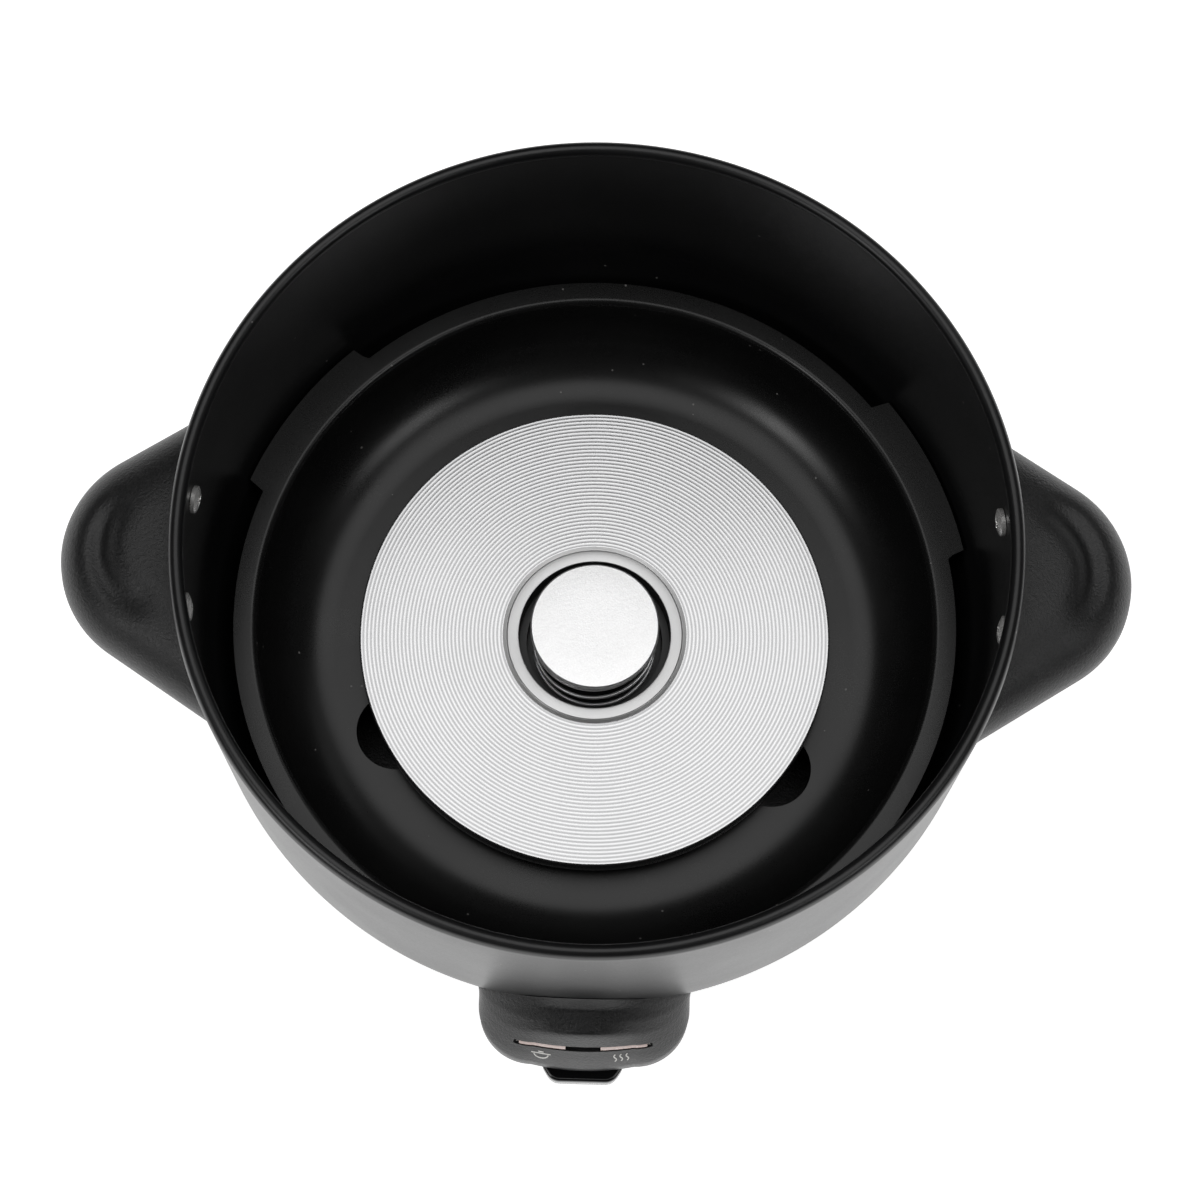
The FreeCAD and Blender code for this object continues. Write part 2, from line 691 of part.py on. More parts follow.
def inner_liner():
    """Drawn pan in the drum: rolled lip, flange with three lugs, curved wall, floor with three lobes."""
    wall = liner_wall
    turn = dim("liner_corner")
    roll = dim("lip_roll")
    flat_r = liner_r - turn
    outline = [
        corner(dim("well_hole"), liner_floor),
        corner(flat_r, liner_floor, turn + wall),
        corner(liner_r + wall, liner_top + turn),
        corner(liner_r + wall, lip_z - roll, roll - wall, -1),
        corner(liner_r + roll, lip_z - wall),
        corner(flange_r, lip_z - wall),
        corner(flange_r, lip_z),
        corner(liner_r + roll, lip_z, roll),
        corner(liner_r, lip_z - roll),
        corner(liner_r, liner_top + turn, turn, -1),
        corner(flat_r, liner_top),
        corner(dim("well_hole"), liner_top),
    ]
    pan = turned_piece("liner_pan", outline)
    lugs = []
    for k, angle in enumerate(LUG_ANGLES):
        half = dim("lug_half_angle")
        lugs.append(sector(f"liner_lug{k}", flange_r - 1, lug_r, angle, half, lip_z - wall, lip_z))
    tools = []
    half = dim("lobe_half_width")
    for k, angle in enumerate(LOBE_ANGLES):
        start = dim("lobe_start")
        end = dim("lobe_reach") - half
        outline = [
            corner(start, -half + 4),
            corner(end, -half, half),
            corner(end + half, 0, half),
            corner(end, half),
            corner(start, half - 4),
        ]
        lobe = raised_piece(f"liner_lobe{k}", [outline], liner_floor - 5, liner_top + 5)
        lobe.Placement = Placement(Vector(), Rotation(Vector(0, 0, 1), angle.value))
        bind(lobe, "Placement.Rotation.Angle", angle)
        tools.append(lobe)
    for angle in POST_ANGLES:
        tools.append(rod("liner_post_hole", 2.4, 10, (*on_circle(POST_CIRCLE, angle), liner_floor - 5)))
    for angle in LUG_ANGLES:
        at = on_circle(dim("spacer_circle"), angle)
        tools.append(rod("liner_plate_hole", shank_r + gap, 10, (*at, liner_floor - 5)))
    node("inner_liner", cut("liner_pierced", join("liner_solid", [pan, *lugs]), tools))


def element_ends():
    """Angles where the element's ring ends, so that its bent ends come down in the middle of two lobes."""
    back = dim("element_bend") / dim("element_circle") * (180 / math.pi)
    return LOBE_ANGLES[2] - 360 + back, LOBE_ANGLES[1] - back


def element_route():
    """Centre line of the element: most of a circle, with both ends bent down."""
    circle = dim("element_circle").value
    bend = dim("element_bend").value
    height = (plate_low + 0.2).value
    tail = dim("element_tail").value
    first, last = (angle.value for angle in element_ends())
    edges = []
    for angle, sense in ((first, -1), (last, 1)):
        radial = Vector(math.cos(math.radians(angle)), math.sin(math.radians(angle)), 0)
        tangent = Vector(-radial.y, radial.x, 0) * sense
        start = radial * circle + Vector(0, 0, height)
        down = start + tangent * bend + Vector(0, 0, -bend)
        turn = math.sqrt(0.5)
        middle = start + tangent * bend * turn + Vector(0, 0, -bend * (1 - turn))
        edges.append([
            Part.Arc(start, middle, down).toShape(),
            Part.LineSegment(down, down + Vector(0, 0, -tail)).toShape(),
        ])
    ring_edge = Part.Circle(Vector(0, 0, height), Vector(0, 0, 1), circle)
    loop = ring_edge.toShape(math.radians(first), math.radians(last))
    chain = [*reversed(edges[0]), loop, *edges[1]]
    return Part.Wire(Part.__sortEdges__(chain)), edges


def heating():
    """Cast plate with a groove for the tubular element, the element, its end pins and its spacers."""
    bevel = dim("plate_edge")
    hole = dim("plate_hole")
    outline = [
        corner(hole, plate_low),
        corner(plate_r - 1.5, plate_low),
        corner(plate_r, plate_low + 1.5),
        corner(plate_r, plate_top - bevel),
        corner(plate_r - bevel, plate_top),
        corner(dim("plate_dish"), plate_top),
        corner(dim("dish_floor"), plate_top - dim("dish_step")),
        corner(hole, plate_top - dim("dish_drop")),
    ]
    plate = turned_piece("plate_disc", outline)
    groove = doc.addObject("Part::Torus", "plate_groove")
    bind(groove, "Radius1", dim("element_circle"))
    bind(groove, "Radius2", dim("element_tube") + 0.03)
    place(groove, (0, 0, plate_low + 0.2))
    tools = [groove]
    for k, (angle, sense) in enumerate(zip(element_ends(), (-1, 1))):
        spot = on_circle(dim("element_circle"), angle)
        turn = Rotation(Vector(0, 0, 1), angle.value + 90 * sense) * ALONG["X"]
        reach = dim("element_bend") + dim("element_tube") + 1
        exit_r = dim("element_tube") + 0.4
        tools.append(rod(f"plate_exit{k}", exit_r, reach, (*spot, plate_low + 0.2), turn))
    spacers, screws = [], []
    for k, angle in enumerate(LUG_ANGLES):
        at = on_circle(dim("spacer_circle"), angle)
        tools.append(rod("plate_pilot", shank_r + 0.02, 6, (*at, plate_low - 1)))
        length = plate_low - liner_top
        spacers.append(ring(f"spacer{k}", dim("spacer_radius"), shank_r + gap, length, (*at, liner_top)))
        screws.append(pan_screw(f"plate_screw{k}", 8, (*at, liner_floor), ALONG["Z"]))
    for k, angle in enumerate(BRACKET_ANGLES):
        at = on_circle(BRACKET_CIRCLE, angle)
        tools.append(rod("plate_bracket_pilot", shank_r + 0.02, 6, (*at, plate_low - 1)))
    node("heating_plate", cut("plate_pierced", plate, tools))
    node("plate_spacers", join("spacers_group", spacers))
    node("plate_screws", join("plate_screws_group", screws))

    path, ends = element_route()
    start = path.Vertexes[0].Point
    section = Part.Wire([Part.Circle(start, Vector(0, 0, 1), dim("element_tube").value).toShape()])
    element = doc.addObject("Part::Feature", "element_tube")
    element.Shape = path.makePipeShell([section], True, True)
    node("heating_element", element)
    pins = []
    for k, (_, straight) in enumerate(ends):
        tip = straight.Vertexes[-1].Point
        pin = rod(f"element_pin{k}", 1.4, 6, (tip.x, tip.y, tip.z - 6))
        low = (tip.x - 3, tip.y - 0.4, tip.z - 11)
        tab = block(f"element_tab{k}", low, (tip.x + 3, tip.y + 0.4, tip.z - 5))
        pins.append(join(f"element_end{k}", [pin, tab]))
    node("element_pins", join("element_pins_group", pins))
    return [straight.Vertexes[-1].Point for _, straight in ends]


BRACKET_ANGLES = [80, 200, 320]
BRACKET_CIRCLE = size(29)


def warm_heater():
    """Mica strip that keeps the pot warm, its clamp, and the thermal fuse in its clip, under the liner."""
    top = liner_floor - 0.1
    strip = sector("warm_strip", 50, 63, size(118), size(22), top - 1.4, top)
    node("keep_warm_heater", strip)
    clamp = sector("warm_clamp_plate", 52, 61, size(118), size(19), top - 2.3, top - 1.5)
    node("heater_clamp", clamp)
    fuse_z = liner_floor - 3.4
    turn = ALONG["X"]
    body = rod("fuse_body", 2, 11, (FUSE_X - 5.5, FUSE_Y, fuse_z), turn)
    wires = rod("fuse_wires", 0.5, 21, (FUSE_X - 10.5, FUSE_Y, fuse_z), turn)
    node("thermal_fuse", join("fuse_joined", [body, wires]))
    left, right = FUSE_X - 2.5, FUSE_X + 2.5
    clip = block("clip_strap", (left, FUSE_Y - 2.9, fuse_z - 2.9), (right, FUSE_Y + 2.9, liner_floor))
    foot = block("clip_foot", (left, FUSE_Y - 9, liner_floor - 0.8), (right, FUSE_Y - 2, liner_floor))
    bore = rod("clip_bore", 2.05, 20, (FUSE_X - 10, FUSE_Y, fuse_z), turn)
    mouth_low = (FUSE_X - 10, FUSE_Y - 2.05, fuse_z)
    mouth = block("clip_mouth", mouth_low, (FUSE_X + 10, FUSE_Y + 2.05, liner_floor + 1))
    node("fuse_clip", cut("clip_cut", join("clip_solid", [clip, foot]), [bore, mouth]))


FUSE_X = size(38)
FUSE_Y = size(48)

# ---------------------------------------------------------------- sensor

SPRING_GAP = size(0.05)
MAGNET_WIRE = size(0.45)
MAGNET_TURNS = size(5)


def coil(name, radius, wire, low, high, turns):
    """Compression spring between two levels."""
    helix = doc.addObject("Part::Helix", f"{name}_line")
    bind(helix, "Height", size(high) - size(low) - 2 * wire)
    bind(helix, "Pitch", (size(high) - size(low) - 2 * wire) / turns)
    bind(helix, "Radius", radius)
    place(helix, (0, 0, size(low) + wire))
    section = doc.addObject("Part::Circle", f"{name}_section")
    bind(section, "Radius", wire)
    place(section, (radius, 0, size(low) + wire), Rotation(Vector(1, 0, 0), 90))
    sweep = doc.addObject("Part::Sweep", f"{name}_swept")
    sweep.Sections = [section]
    sweep.Spine = (helix, [])
    sweep.Solid = True
    sweep.Frenet = True
    return sweep


def sensor():
    """Spring-loaded cap with its tube and ferrite disc, and the bracket that guides it."""
    sheet_t = dim("bracket_sheet")
    cup = dim("bracket_cup")
    guide = case_r + dim("running_gap")
    outline = [
        corner(guide, bracket_floor),
        corner(cup + sheet_t, bracket_floor),
        corner(cup + sheet_t, plate_low - sheet_t),
        corner(dim("bracket_flange"), plate_low - sheet_t),
        corner(dim("bracket_flange"), plate_low),
        corner(cup, plate_low),
        corner(cup, bracket_floor_top),
        corner(guide, bracket_floor_top),
    ]
    bracket = turned_piece("bracket_cup_body", outline)
    holes, screws = [], []
    for k, angle in enumerate(BRACKET_ANGLES):
        at = on_circle(BRACKET_CIRCLE, angle)
        holes.append(rod("bracket_hole", shank_r + gap, 6, (*at, plate_low - 4)))
        screws.append(pan_screw(f"bracket_screw{k}", 5.5, (*at, plate_low - sheet_t), ALONG["Z"]))
    node("sensor_bracket", cut("bracket_pierced", bracket, holes))
    node("bracket_screws", join("bracket_screws_group", screws))

    cap_sheet = dim("cap_sheet")
    bevel = size(0.4)
    cap = [
        corner(0, cap_under),
        corner(cap_r - cap_sheet, cap_under),
        corner(cap_r - cap_sheet, cap_low),
        corner(cap_r, cap_low),
        corner(cap_r, cap_top - bevel),
        corner(cap_r - bevel, cap_top),
        corner(0, cap_top),
    ]
    node("sensor_cap", turned_piece("cap_body", cap))
    wall = dim("case_wall")
    case = [
        corner(case_r - wall, case_low),
        corner(case_r, case_low),
        corner(case_r, cap_under - 0.02),
        corner(0, cap_under - 0.02),
        corner(0, cap_under - 1.5),
        corner(case_r - wall, cap_under - 1.5),
    ]
    node("sensor_case", turned_piece("case_body", case))
    disc_r = case_r - wall - 0.1
    node("ferrite", rod("ferrite_disc", disc_r, dim("ferrite_thick") - 0.04, (0, 0, ferrite_low + 0.02)))
    low = bracket_floor_top + SPRING_GAP
    high = cap_low - SPRING_GAP
    spring = coil("cap_coil", dim("spring_radius"), dim("spring_wire"), low, high, dim("spring_turns"))
    node("cap_spring", spring)


def magnet_set():
    """Magnet in its cup on the lifting rod, with the spring that pushes it down, and two collars."""
    seat = magnet_seat
    flange = case_r - dim("case_wall") - 0.4
    cup_r = dim("magnet_radius") + magnet_sheet
    cup_top = seat + magnet_sheet + dim("magnet_thick") - 0.6
    outline = [
        corner(0, seat),
        corner(flange, seat),
        corner(flange, seat + magnet_sheet),
        corner(cup_r, seat + magnet_sheet),
        corner(cup_r, cup_top),
        corner(dim("magnet_radius") + 0.03, cup_top),
        corner(dim("magnet_radius") + 0.03, seat + magnet_sheet),
        corner(0, seat + magnet_sheet),
    ]
    node("magnet_cup", turned_piece("magnet_cup_body", outline))
    magnet_z = seat + magnet_sheet + 0.02
    node("magnet", rod("magnet_disc", dim("magnet_radius"), dim("magnet_thick"), (0, 0, magnet_z)))
    low = seat + magnet_sheet + SPRING_GAP
    spring = coil("magnet_coil", cup_r + 1.3, MAGNET_WIRE, low, ferrite_low - SPRING_GAP, MAGNET_TURNS)
    node("magnet_spring", spring)
    rod_low = arm_z - 5.5
    node("pull_rod", rod("rod_bar", rod_r, seat - rod_low - 0.02, (0, 0, rod_low)))
    upper = ring("collar_upper", 4.0, rod_r + 0.01, 1.6, (0, 0, arm_z + arm_t + COLLAR_GAP))
    lower = ring("collar_lower", 4.0, rod_r + 0.01, 1.2, (0, 0, arm_z - COLLAR_GAP - 1.6))
    node("rod_collars", join("collars_group", [upper, lower]))


COLLAR_GAP = size(0.6)

# ---------------------------------------------------------------- cook switch


def switch_lever():
    """Bent strip from the lifting rod, over the pivot, up inside the control box and into the key."""
    tail = size(7)
    tongue_z = key_mid - arm_t / 2
    outline = [
        corner(tail, arm_z),
        corner(tail, arm_z + arm_t),
        corner(web_y + arm_t, arm_z + arm_t),
        corner(web_y + arm_t, tongue_z),
        corner(web_y + arm_t, tongue_z + arm_t),
        corner(key_front + 6, tongue_z + arm_t),
        corner(key_front + 6, tongue_z),
        corner(web_y, tongue_z),
        corner(web_y, arm_z),
    ]
    strip = raised_piece("lever_strip", [outline], -arm_half, arm_half, "YZ")
    ears = []
    for sign in SIDES:
        low = (arm_half if sign > 0 else -arm_half - 1.2, pivot_y - 5, pivot_z - 3.5)
        high = (arm_half + 1.2 if sign > 0 else -arm_half, pivot_y + 5, arm_z + arm_t)
        ears.append(block("lever_ear", low, high))
    solid = join("lever_solid", [strip, *ears])
    hole_r = pivot_r + dim("running_gap")
    bore = rod("lever_bore", hole_r, arm_half * 2 + 10, (-arm_half - 5, pivot_y, pivot_z), ALONG["X"])
    fork = block("lever_fork", (-rod_r - 0.35, -3, arm_z - 2), (rod_r + 0.35, tail + 2, arm_z + arm_t + 2))
    node("switch_lever", cut("lever_cut", solid, [bore, fork]))


def lever_key():
    """Moulded key on the lever's front end: narrowing to a flat front with rounded corners."""
    half = dim("key_width") / 2
    flat = dim("key_flat") / 2
    shoulder = key_front + 5
    shoulder_r = (half - flat) * 2.2
    back = key_front + 21
    outline = [
        corner(-half, back),
        corner(-half, shoulder, shoulder_r),
        corner(-flat, key_front),
        corner(flat, key_front, shoulder_r),
        corner(half, shoulder),
        corner(half, back),
    ]
    solid = raised_piece("key_block", [outline], key_z, key_top)
    tongue_z = key_mid - arm_t / 2
    socket = block(
        "key_socket",
        (-arm_half - 0.1, key_front + 5.8, tongue_z - 0.1),
        (arm_half + 0.1, back + 2, tongue_z + arm_t + 0.1),
    )
    node("lever_key", cut("key_cut", solid, [socket]))


def switch_frame():
    """Folded frame on the cover that carries the pivot and the snap switch."""
    front = switch_y - 11
    back = pivot_y + 8
    plate_half = FRAME_PAD_X + 4.5
    ears = []
    for sign in SIDES:
        low = (frame_in if sign > 0 else -frame_in - frame_t, front if sign < 0 else pivot_y - 8, frame_z)
        high = (frame_in + frame_t if sign > 0 else -frame_in, back, pivot_z + 4.5)
        ears.append(block("frame_ear", low, high))
    wing_low = (-plate_half, FRAME_PAD_Y - 5, frame_z)
    wings = block("frame_wings", wing_low, (plate_half, FRAME_PAD_Y + 5, frame_z + frame_t))
    solid = join("frame_solid", [wings, *ears])
    tools = [rod("frame_bore", pivot_r + 0.02, 60, (-30, pivot_y, pivot_z), ALONG["X"])]
    screws = []
    for k, sign in enumerate(SIDES):
        at = (sign * FRAME_PAD_X, FRAME_PAD_Y)
        tools.append(rod("frame_hole", shank_r + gap, 8, (*at, frame_z - 3)))
        screws.append(pan_screw(f"frame_screw{k}", 4.5, (*at, frame_z + frame_t), ALONG["-Z"]))
    for k, y in enumerate(SWITCH_HOLES):
        hole_low = (-frame_in - 5, switch_y + y, SWITCH_Z + 3)
        tools.append(rod("frame_switch_hole", 1.15, 10, hole_low, ALONG["X"]))
    node("switch_frame", cut("frame_cut", solid, tools))
    node("frame_screws", join("frame_screws_group", screws))
    pin_half = frame_in + frame_t + 2.2
    node("pivot_pin", rod("pin_bar", pivot_r, pin_half * 2, (-pin_half, pivot_y, pivot_z), ALONG["X"]))
    clips = []
    for k, sign in enumerate(SIDES):
        start = frame_in + frame_t + 0.3 if sign > 0 else -frame_in - frame_t - 1.1
        clips.append(ring(f"pin_clip{k}", 3.2, pivot_r + 0.01, 0.8, (start, pivot_y, pivot_z), ALONG["X"]))
    node("pin_clips", join("pin_clips_group", clips))


SWITCH_HOLES = (-4.75, 4.75)
SWITCH_LENGTH = 19.8
SWITCH_WIDTH = 6.4
SWITCH_Z = arm_z - 13.4
PLUNGER_GAP = size(0.2)


def snap_switch():
    """Small snap switch under the arm, in front of the pivot: case, plunger, terminals and its screws."""
    x_low = -frame_in + 0.05
    x_high = x_low + SWITCH_WIDTH
    middle = x_low + SWITCH_WIDTH / 2
    case = block(
        "switch_body",
        (x_low, switch_y - SWITCH_LENGTH / 2, SWITCH_Z),
        (x_high, switch_y + SWITCH_LENGTH / 2, SWITCH_Z + 9.6),
    )
    tools = [rod("switch_well", 1.3, 8, (middle, switch_y, SWITCH_Z + 5))]
    screws = []
    for k, y in enumerate(SWITCH_HOLES):
        at_y = switch_y + y
        tools.append(rod("switch_hole", 1.15, 20, (x_low - 5, at_y, SWITCH_Z + 3), ALONG["X"]))
        shank_low = (-frame_in - frame_t - 1.2, at_y, SWITCH_Z + 3)
        shank = rod(f"switch_screw_shank{k}", 1.05, 9.6, shank_low, ALONG["X"])
        head = rod(f"switch_screw_head{k}", 2.1, 1.4, (x_high + 0.1, at_y, SWITCH_Z + 3), ALONG["X"])
        screws.append(join(f"switch_screw{k}", [shank, head]))
    node("switch_case", cut("switch_bored", case, tools))
    node("switch_screws", join("switch_screws_group", screws))
    plunger_low = SWITCH_Z + 8.2
    plunger = rod("plunger_bar", 1.2, arm_z - PLUNGER_GAP - plunger_low, (middle, switch_y, plunger_low))
    node("switch_plunger", plunger)
    tabs = []
    for k, y in enumerate((-8.0, 0.0, 8.0)):
        low = (middle - 1.6, switch_y + y - 0.25, SWITCH_Z - 2.6)
        high = (middle + 1.6, switch_y + y + 0.25, SWITCH_Z - 0.02)
        tabs.append(block(f"switch_tab{k}", low, high))
    node("switch_terminals", join("switch_tabs_group", tabs))
    return middle


# ---------------------------------------------------------------- control box


def box_solid(name, inset):
    """Control box as the common part of its plan and its side view, drawn in by a wall."""
    half = box_half - inset
    front = box_front + inset
    turn = dim("box_corner") - inset
    bow = dim("box_bow")
    back = -(skirt_r - 8)
    shoulder = front + bow + turn
    flat = half - turn
    bow_r = (flat * flat + bow * bow) / (2 * bow)
    plan = [
        corner(-half, back),
        corner(-half, shoulder, turn),
        corner(-flat, front + bow, bow_r),
        corner(0, front, bow_r),
        corner(flat, front + bow, turn),
        corner(half, shoulder),
        corner(half, back),
    ]
    plan_block = raised_piece(f"{name}_plan", [plan], box_z - 5, box_top + 5)
    top = box_top - inset
    low = box_z + inset
    side = [
        corner(back, low),
        corner(back, top),
        corner(front + BROW_RUN, top, BROW_RADIUS),
        corner(front, top - BROW_DROP),
        corner(front, low + CHIN, CHIN),
        corner(front + CHIN, low),
    ]
    side_block = raised_piece(f"{name}_side", [side], -box_half - 5, box_half + 5, "YZ")
    arch = dim("box_arch")
    arch_r = (half * half + arch * arch) / (2 * arch)
    view = [
        corner(-half, low),
        corner(half, low),
        corner(half, top - arch, arch_r),
        corner(0, top, arch_r),
        corner(-half, top - arch),
    ]
    arch_block = raised_piece(f"{name}_arch", [view], box_front - 5, back + 5, "XZ")
    return common(name, common(f"{name}_prism", plan_block, side_block), arch_block)


BROW_RADIUS = size(34)
BROW_RUN = dim("box_reach")
BROW_DROP = size(30)
CHIN = size(7)


def shell_filler(name, clearance):
    """Solid drum, a little larger than the real one, that seats the pieces fixed to its outside."""
    outer = shell_r + clearance
    foot = cover_z - 5
    seat_r = cover_r + clearance
    outline = [
        corner(0, foot),
        corner(seat_r, foot),
        corner(seat_r, turn_z - across(turn_r + clearance, seat_r - turn_centre), turn_r + clearance),
        corner(outer, turn_z),
        corner(outer, rim + 5),
        corner(0, rim + 5),
    ]
    return turned_piece(name, outline)


def control_box():
    """Hollow moulding open towards the drum, with lamp windows, a slot for the key and two screw bosses."""
    outer = box_solid("box_outer", size(0))
    inner = box_solid("box_inner", box_wall)
    shell = shell_filler("box_seat", gap)
    slot_half = dim("slot_width") / 2
    key_drop = (-key_front - dim("pivot_distance")) * sine(dim("lever_swing"))
    slot = block(
        "box_slot",
        (-slot_half, box_front - 5, key_z - key_drop - 1.5),
        (slot_half, box_front + 12, key_top + 2),
    )
    tools = [inner, shell, slot]
    for sign in SIDES:
        ends = (dim("window_inner"), dim("window_outer"))
        low_x = ends[0] if sign > 0 else -ends[1]
        high_x = ends[1] if sign > 0 else -ends[0]
        low_z = dim("window_low")
        high_z = low_z + dim("window_tall")
        tools.append(block("box_window", (low_x, box_front - 5, low_z), (high_x, box_front + 12, high_z)))
    hollow = cut("box_hollow", outer, tools)
    bosses, bores, screws = [], [], []
    for k, sign in enumerate(SIDES):
        angle = 270 + sign * BOX_SCREW_ANGLE
        seat = turn_centre + root(turn_r * turn_r - (turn_z - BOX_SCREW_Z) * (turn_z - BOX_SCREW_Z))
        x, y = on_circle(seat + 0.6, angle)
        bosses.append(rod(f"box_boss{k}", 3.4, 8, (x, y, BOX_SCREW_Z), outward(angle)))
        x, y = on_circle(seat - 1, angle)
        bores.append(rod(f"box_pilot{k}", shank_r + 0.02, 8.6, (x, y, BOX_SCREW_Z), outward(angle)))
        x, y = on_circle(seat - dim("shell_wall") - 0.45, angle)
        screws.append(pan_screw(f"box_screw{k}", 7, (x, y, BOX_SCREW_Z), outward(angle)))
    trimmed = common("box_bosses", join("box_bosses_raw", bosses), box_solid("box_limit", size(0.5)))
    trimmed = cut("box_bosses_seated", trimmed, [shell_filler("boss_seat", gap)])
    body = join("box_body", [hollow, trimmed])
    node("control_box", cut("box_bored", body, bores))
    node("box_screws", join("box_screws_group", screws))


# The lamp holder stops where the box's round corners begin to close in on it.
holder_half = box_half - 11.5
resistor_x = holder_half - 8
LAMP_GAP = size(3)


def lamps():
    """Two coloured windows, each with a lamp behind it in a common holder, and the lamps' resistors."""
    low_z = dim("window_low")
    tall = dim("window_tall")
    for sign, name in ((-1, "cook"), (1, "warm")):
        inner, outer = dim("window_inner") + 0.1, dim("window_outer") - 0.1
        low_x = inner if sign > 0 else -outer
        high_x = outer if sign > 0 else -inner
        bar_low = (low_x, box_front - 5, low_z + 0.1)
        bar = block(f"{name}_bar", bar_low, (high_x, box_front + 6, low_z + tall - 0.1))
        face = box_solid(f"{name}_face", size(0.9))
        node(f"{name}_window", common(f"{name}_pane", bar, face))
    lamp_r = dim("lamp_radius")
    lamp_y = box_front + 9
    lamp_z = low_z + tall / 2
    bulb = dim("bulb_length")
    bulb_x = (holder_half + LAMP_GAP) / 2
    tools = []
    for sign, name in ((-1, "cook"), (1, "warm")):
        low = (sign * bulb_x - bulb / 2, lamp_y, lamp_z)
        node(f"{name}_lamp", rod(f"{name}_bulb", lamp_r - 0.2, bulb, low, ALONG["X"]))
        trough = (sign * bulb_x - bulb / 2 - 0.2, lamp_y, lamp_z)
        tools.append(rod("holder_trough", lamp_r, bulb + 0.4, trough, ALONG["X"]))
    holder_low = (-holder_half, lamp_y - 2.6, lamp_z - 5.5)
    holder = block("holder_block", holder_low, (holder_half, lamp_y + 2.6, lamp_z - 0.2))
    node("lamp_holder", cut("holder_cut", holder, tools))
    resistors = []
    for k, sign in enumerate(SIDES):
        body = rod(f"resistor_body{k}", 1.2, 7, (sign * resistor_x - 3.5, lamp_y, lamp_z - 7.2), ALONG["X"])
        wires = rod(f"resistor_wire{k}", 0.35, 13, (sign * resistor_x - 6.5, lamp_y, lamp_z - 7.2), ALONG["X"])
        resistors.append(join(f"resistor{k}", [body, wires]))
    node("lamp_resistors", join("resistors_group", resistors))
    return lamp_y, lamp_z


# ---------------------------------------------------------------- handles


HANDLE_FLARE = size(14)


def handle(label, side):
    """Moulded lug: rounded nose, straight flanks, hollow underneath, two bosses for its screws."""
    nose = dim("handle_nose")
    flank = dim("handle_flank")

    def plan(inset):
        radius = nose - inset
        centre = handle_tip - nose
        edge_x = centre + radius * cosine(flank)
        edge_y = radius * sine(flank)
        root_x = shell_r - 8
        run = (edge_x - root_x) / sine(flank)
        root_y = edge_y + run * cosine(flank)
        return [
            corner(side * root_x, -side * root_y),
            corner(side * edge_x, -side * edge_y, radius),
            corner(side * (centre + radius), 0, radius),
            corner(side * edge_x, side * edge_y),
            corner(side * root_x, side * root_y),
        ]

    wall = dim("handle_wall")
    top = handle_low + dim("handle_thick")
    dome = dim("handle_dome")

    def domed(name, inset, low):
        """Plan raised to the top, common with a vault along X and a nose that falls to the tip."""
        crown = top - inset
        brim = crown - dome
        half = nose + HANDLE_FLARE - inset
        vault_r = (half * half + dome * dome) / (2 * dome)
        vault = [
            corner(-half, low),
            corner(half, low),
            corner(half, brim, vault_r),
            corner(0, crown, vault_r),
            corner(-half, brim),
        ]
        near = side * (shell_r - 10)
        far = side * (handle_tip + 1 - inset)
        fall = [corner(near, low), corner(far, low), corner(far, brim, nose + 8, side), corner(near, crown)]
        if side < 0:
            fall = [corner(far, low), corner(near, low), corner(near, crown, nose + 8), corner(far, brim)]
        block_x = (near, far) if side > 0 else (far, near)
        plan_block = raised_piece(f"{name}_plan", [plan(inset)], low, top)
        vault_block = raised_piece(f"{name}_vault", [vault], *block_x, "YZ")
        fall_block = raised_piece(f"{name}_fall", [fall], -half, half, "XZ")
        return common(name, common(f"{name}_prism", plan_block, vault_block), fall_block)

    outer = domed(f"{label}_outer", size(0), handle_low)
    inner = domed(f"{label}_inner", wall, handle_low - 5)
    seat = rod(f"{label}_seat", shell_r + 0.05, rim * 2, (0, 0, -rim / 2))
    back = ring(f"{label}_back", shell_r + wall, shell_r + 0.05, dim("handle_thick"), (0, 0, handle_low))
    limit = raised_piece(f"{label}_limit", [plan(size(0.5))], handle_low, top)
    back_wall = common(f"{label}_back_wall", back, limit)
    hollow = cut(f"{label}_hollow", outer, [inner, seat])
    base = 0 if side > 0 else 180
    bosses, bores = [], []
    for k, sign in enumerate(SIDES):
        angle = base + sign * dim("handle_spread")
        x, y = on_circle(shell_r - 1, angle)
        bosses.append(rod(f"{label}_boss{k}", 4.2, 14, (x, y, handle_z), outward(angle)))
        bores.append(rod(f"{label}_pilot{k}", shank_r + 0.02, 13, (x, y, handle_z), outward(angle)))
    solid = join(f"{label}_solid", [hollow, back_wall, *bosses])
    bores.append(rod(f"{label}_bore_seat", shell_r + 0.05, rim, (0, 0, 0)))
    node(label, cut(f"{label}_bored", solid, bores))


def handle_screws():
    screws = []
    for base in (0, 180):
        for sign in SIDES:
            angle = base + sign * dim("handle_spread")
            x, y = on_circle(shell_in - 0.1, angle)
            screws.append(pan_screw(f"handle_screw{base}{sign}", 12, (x, y, handle_z), outward(angle)))
    node("handle_screws", join("handle_screws_group", screws))


# ---------------------------------------------------------------- inlet and wiring


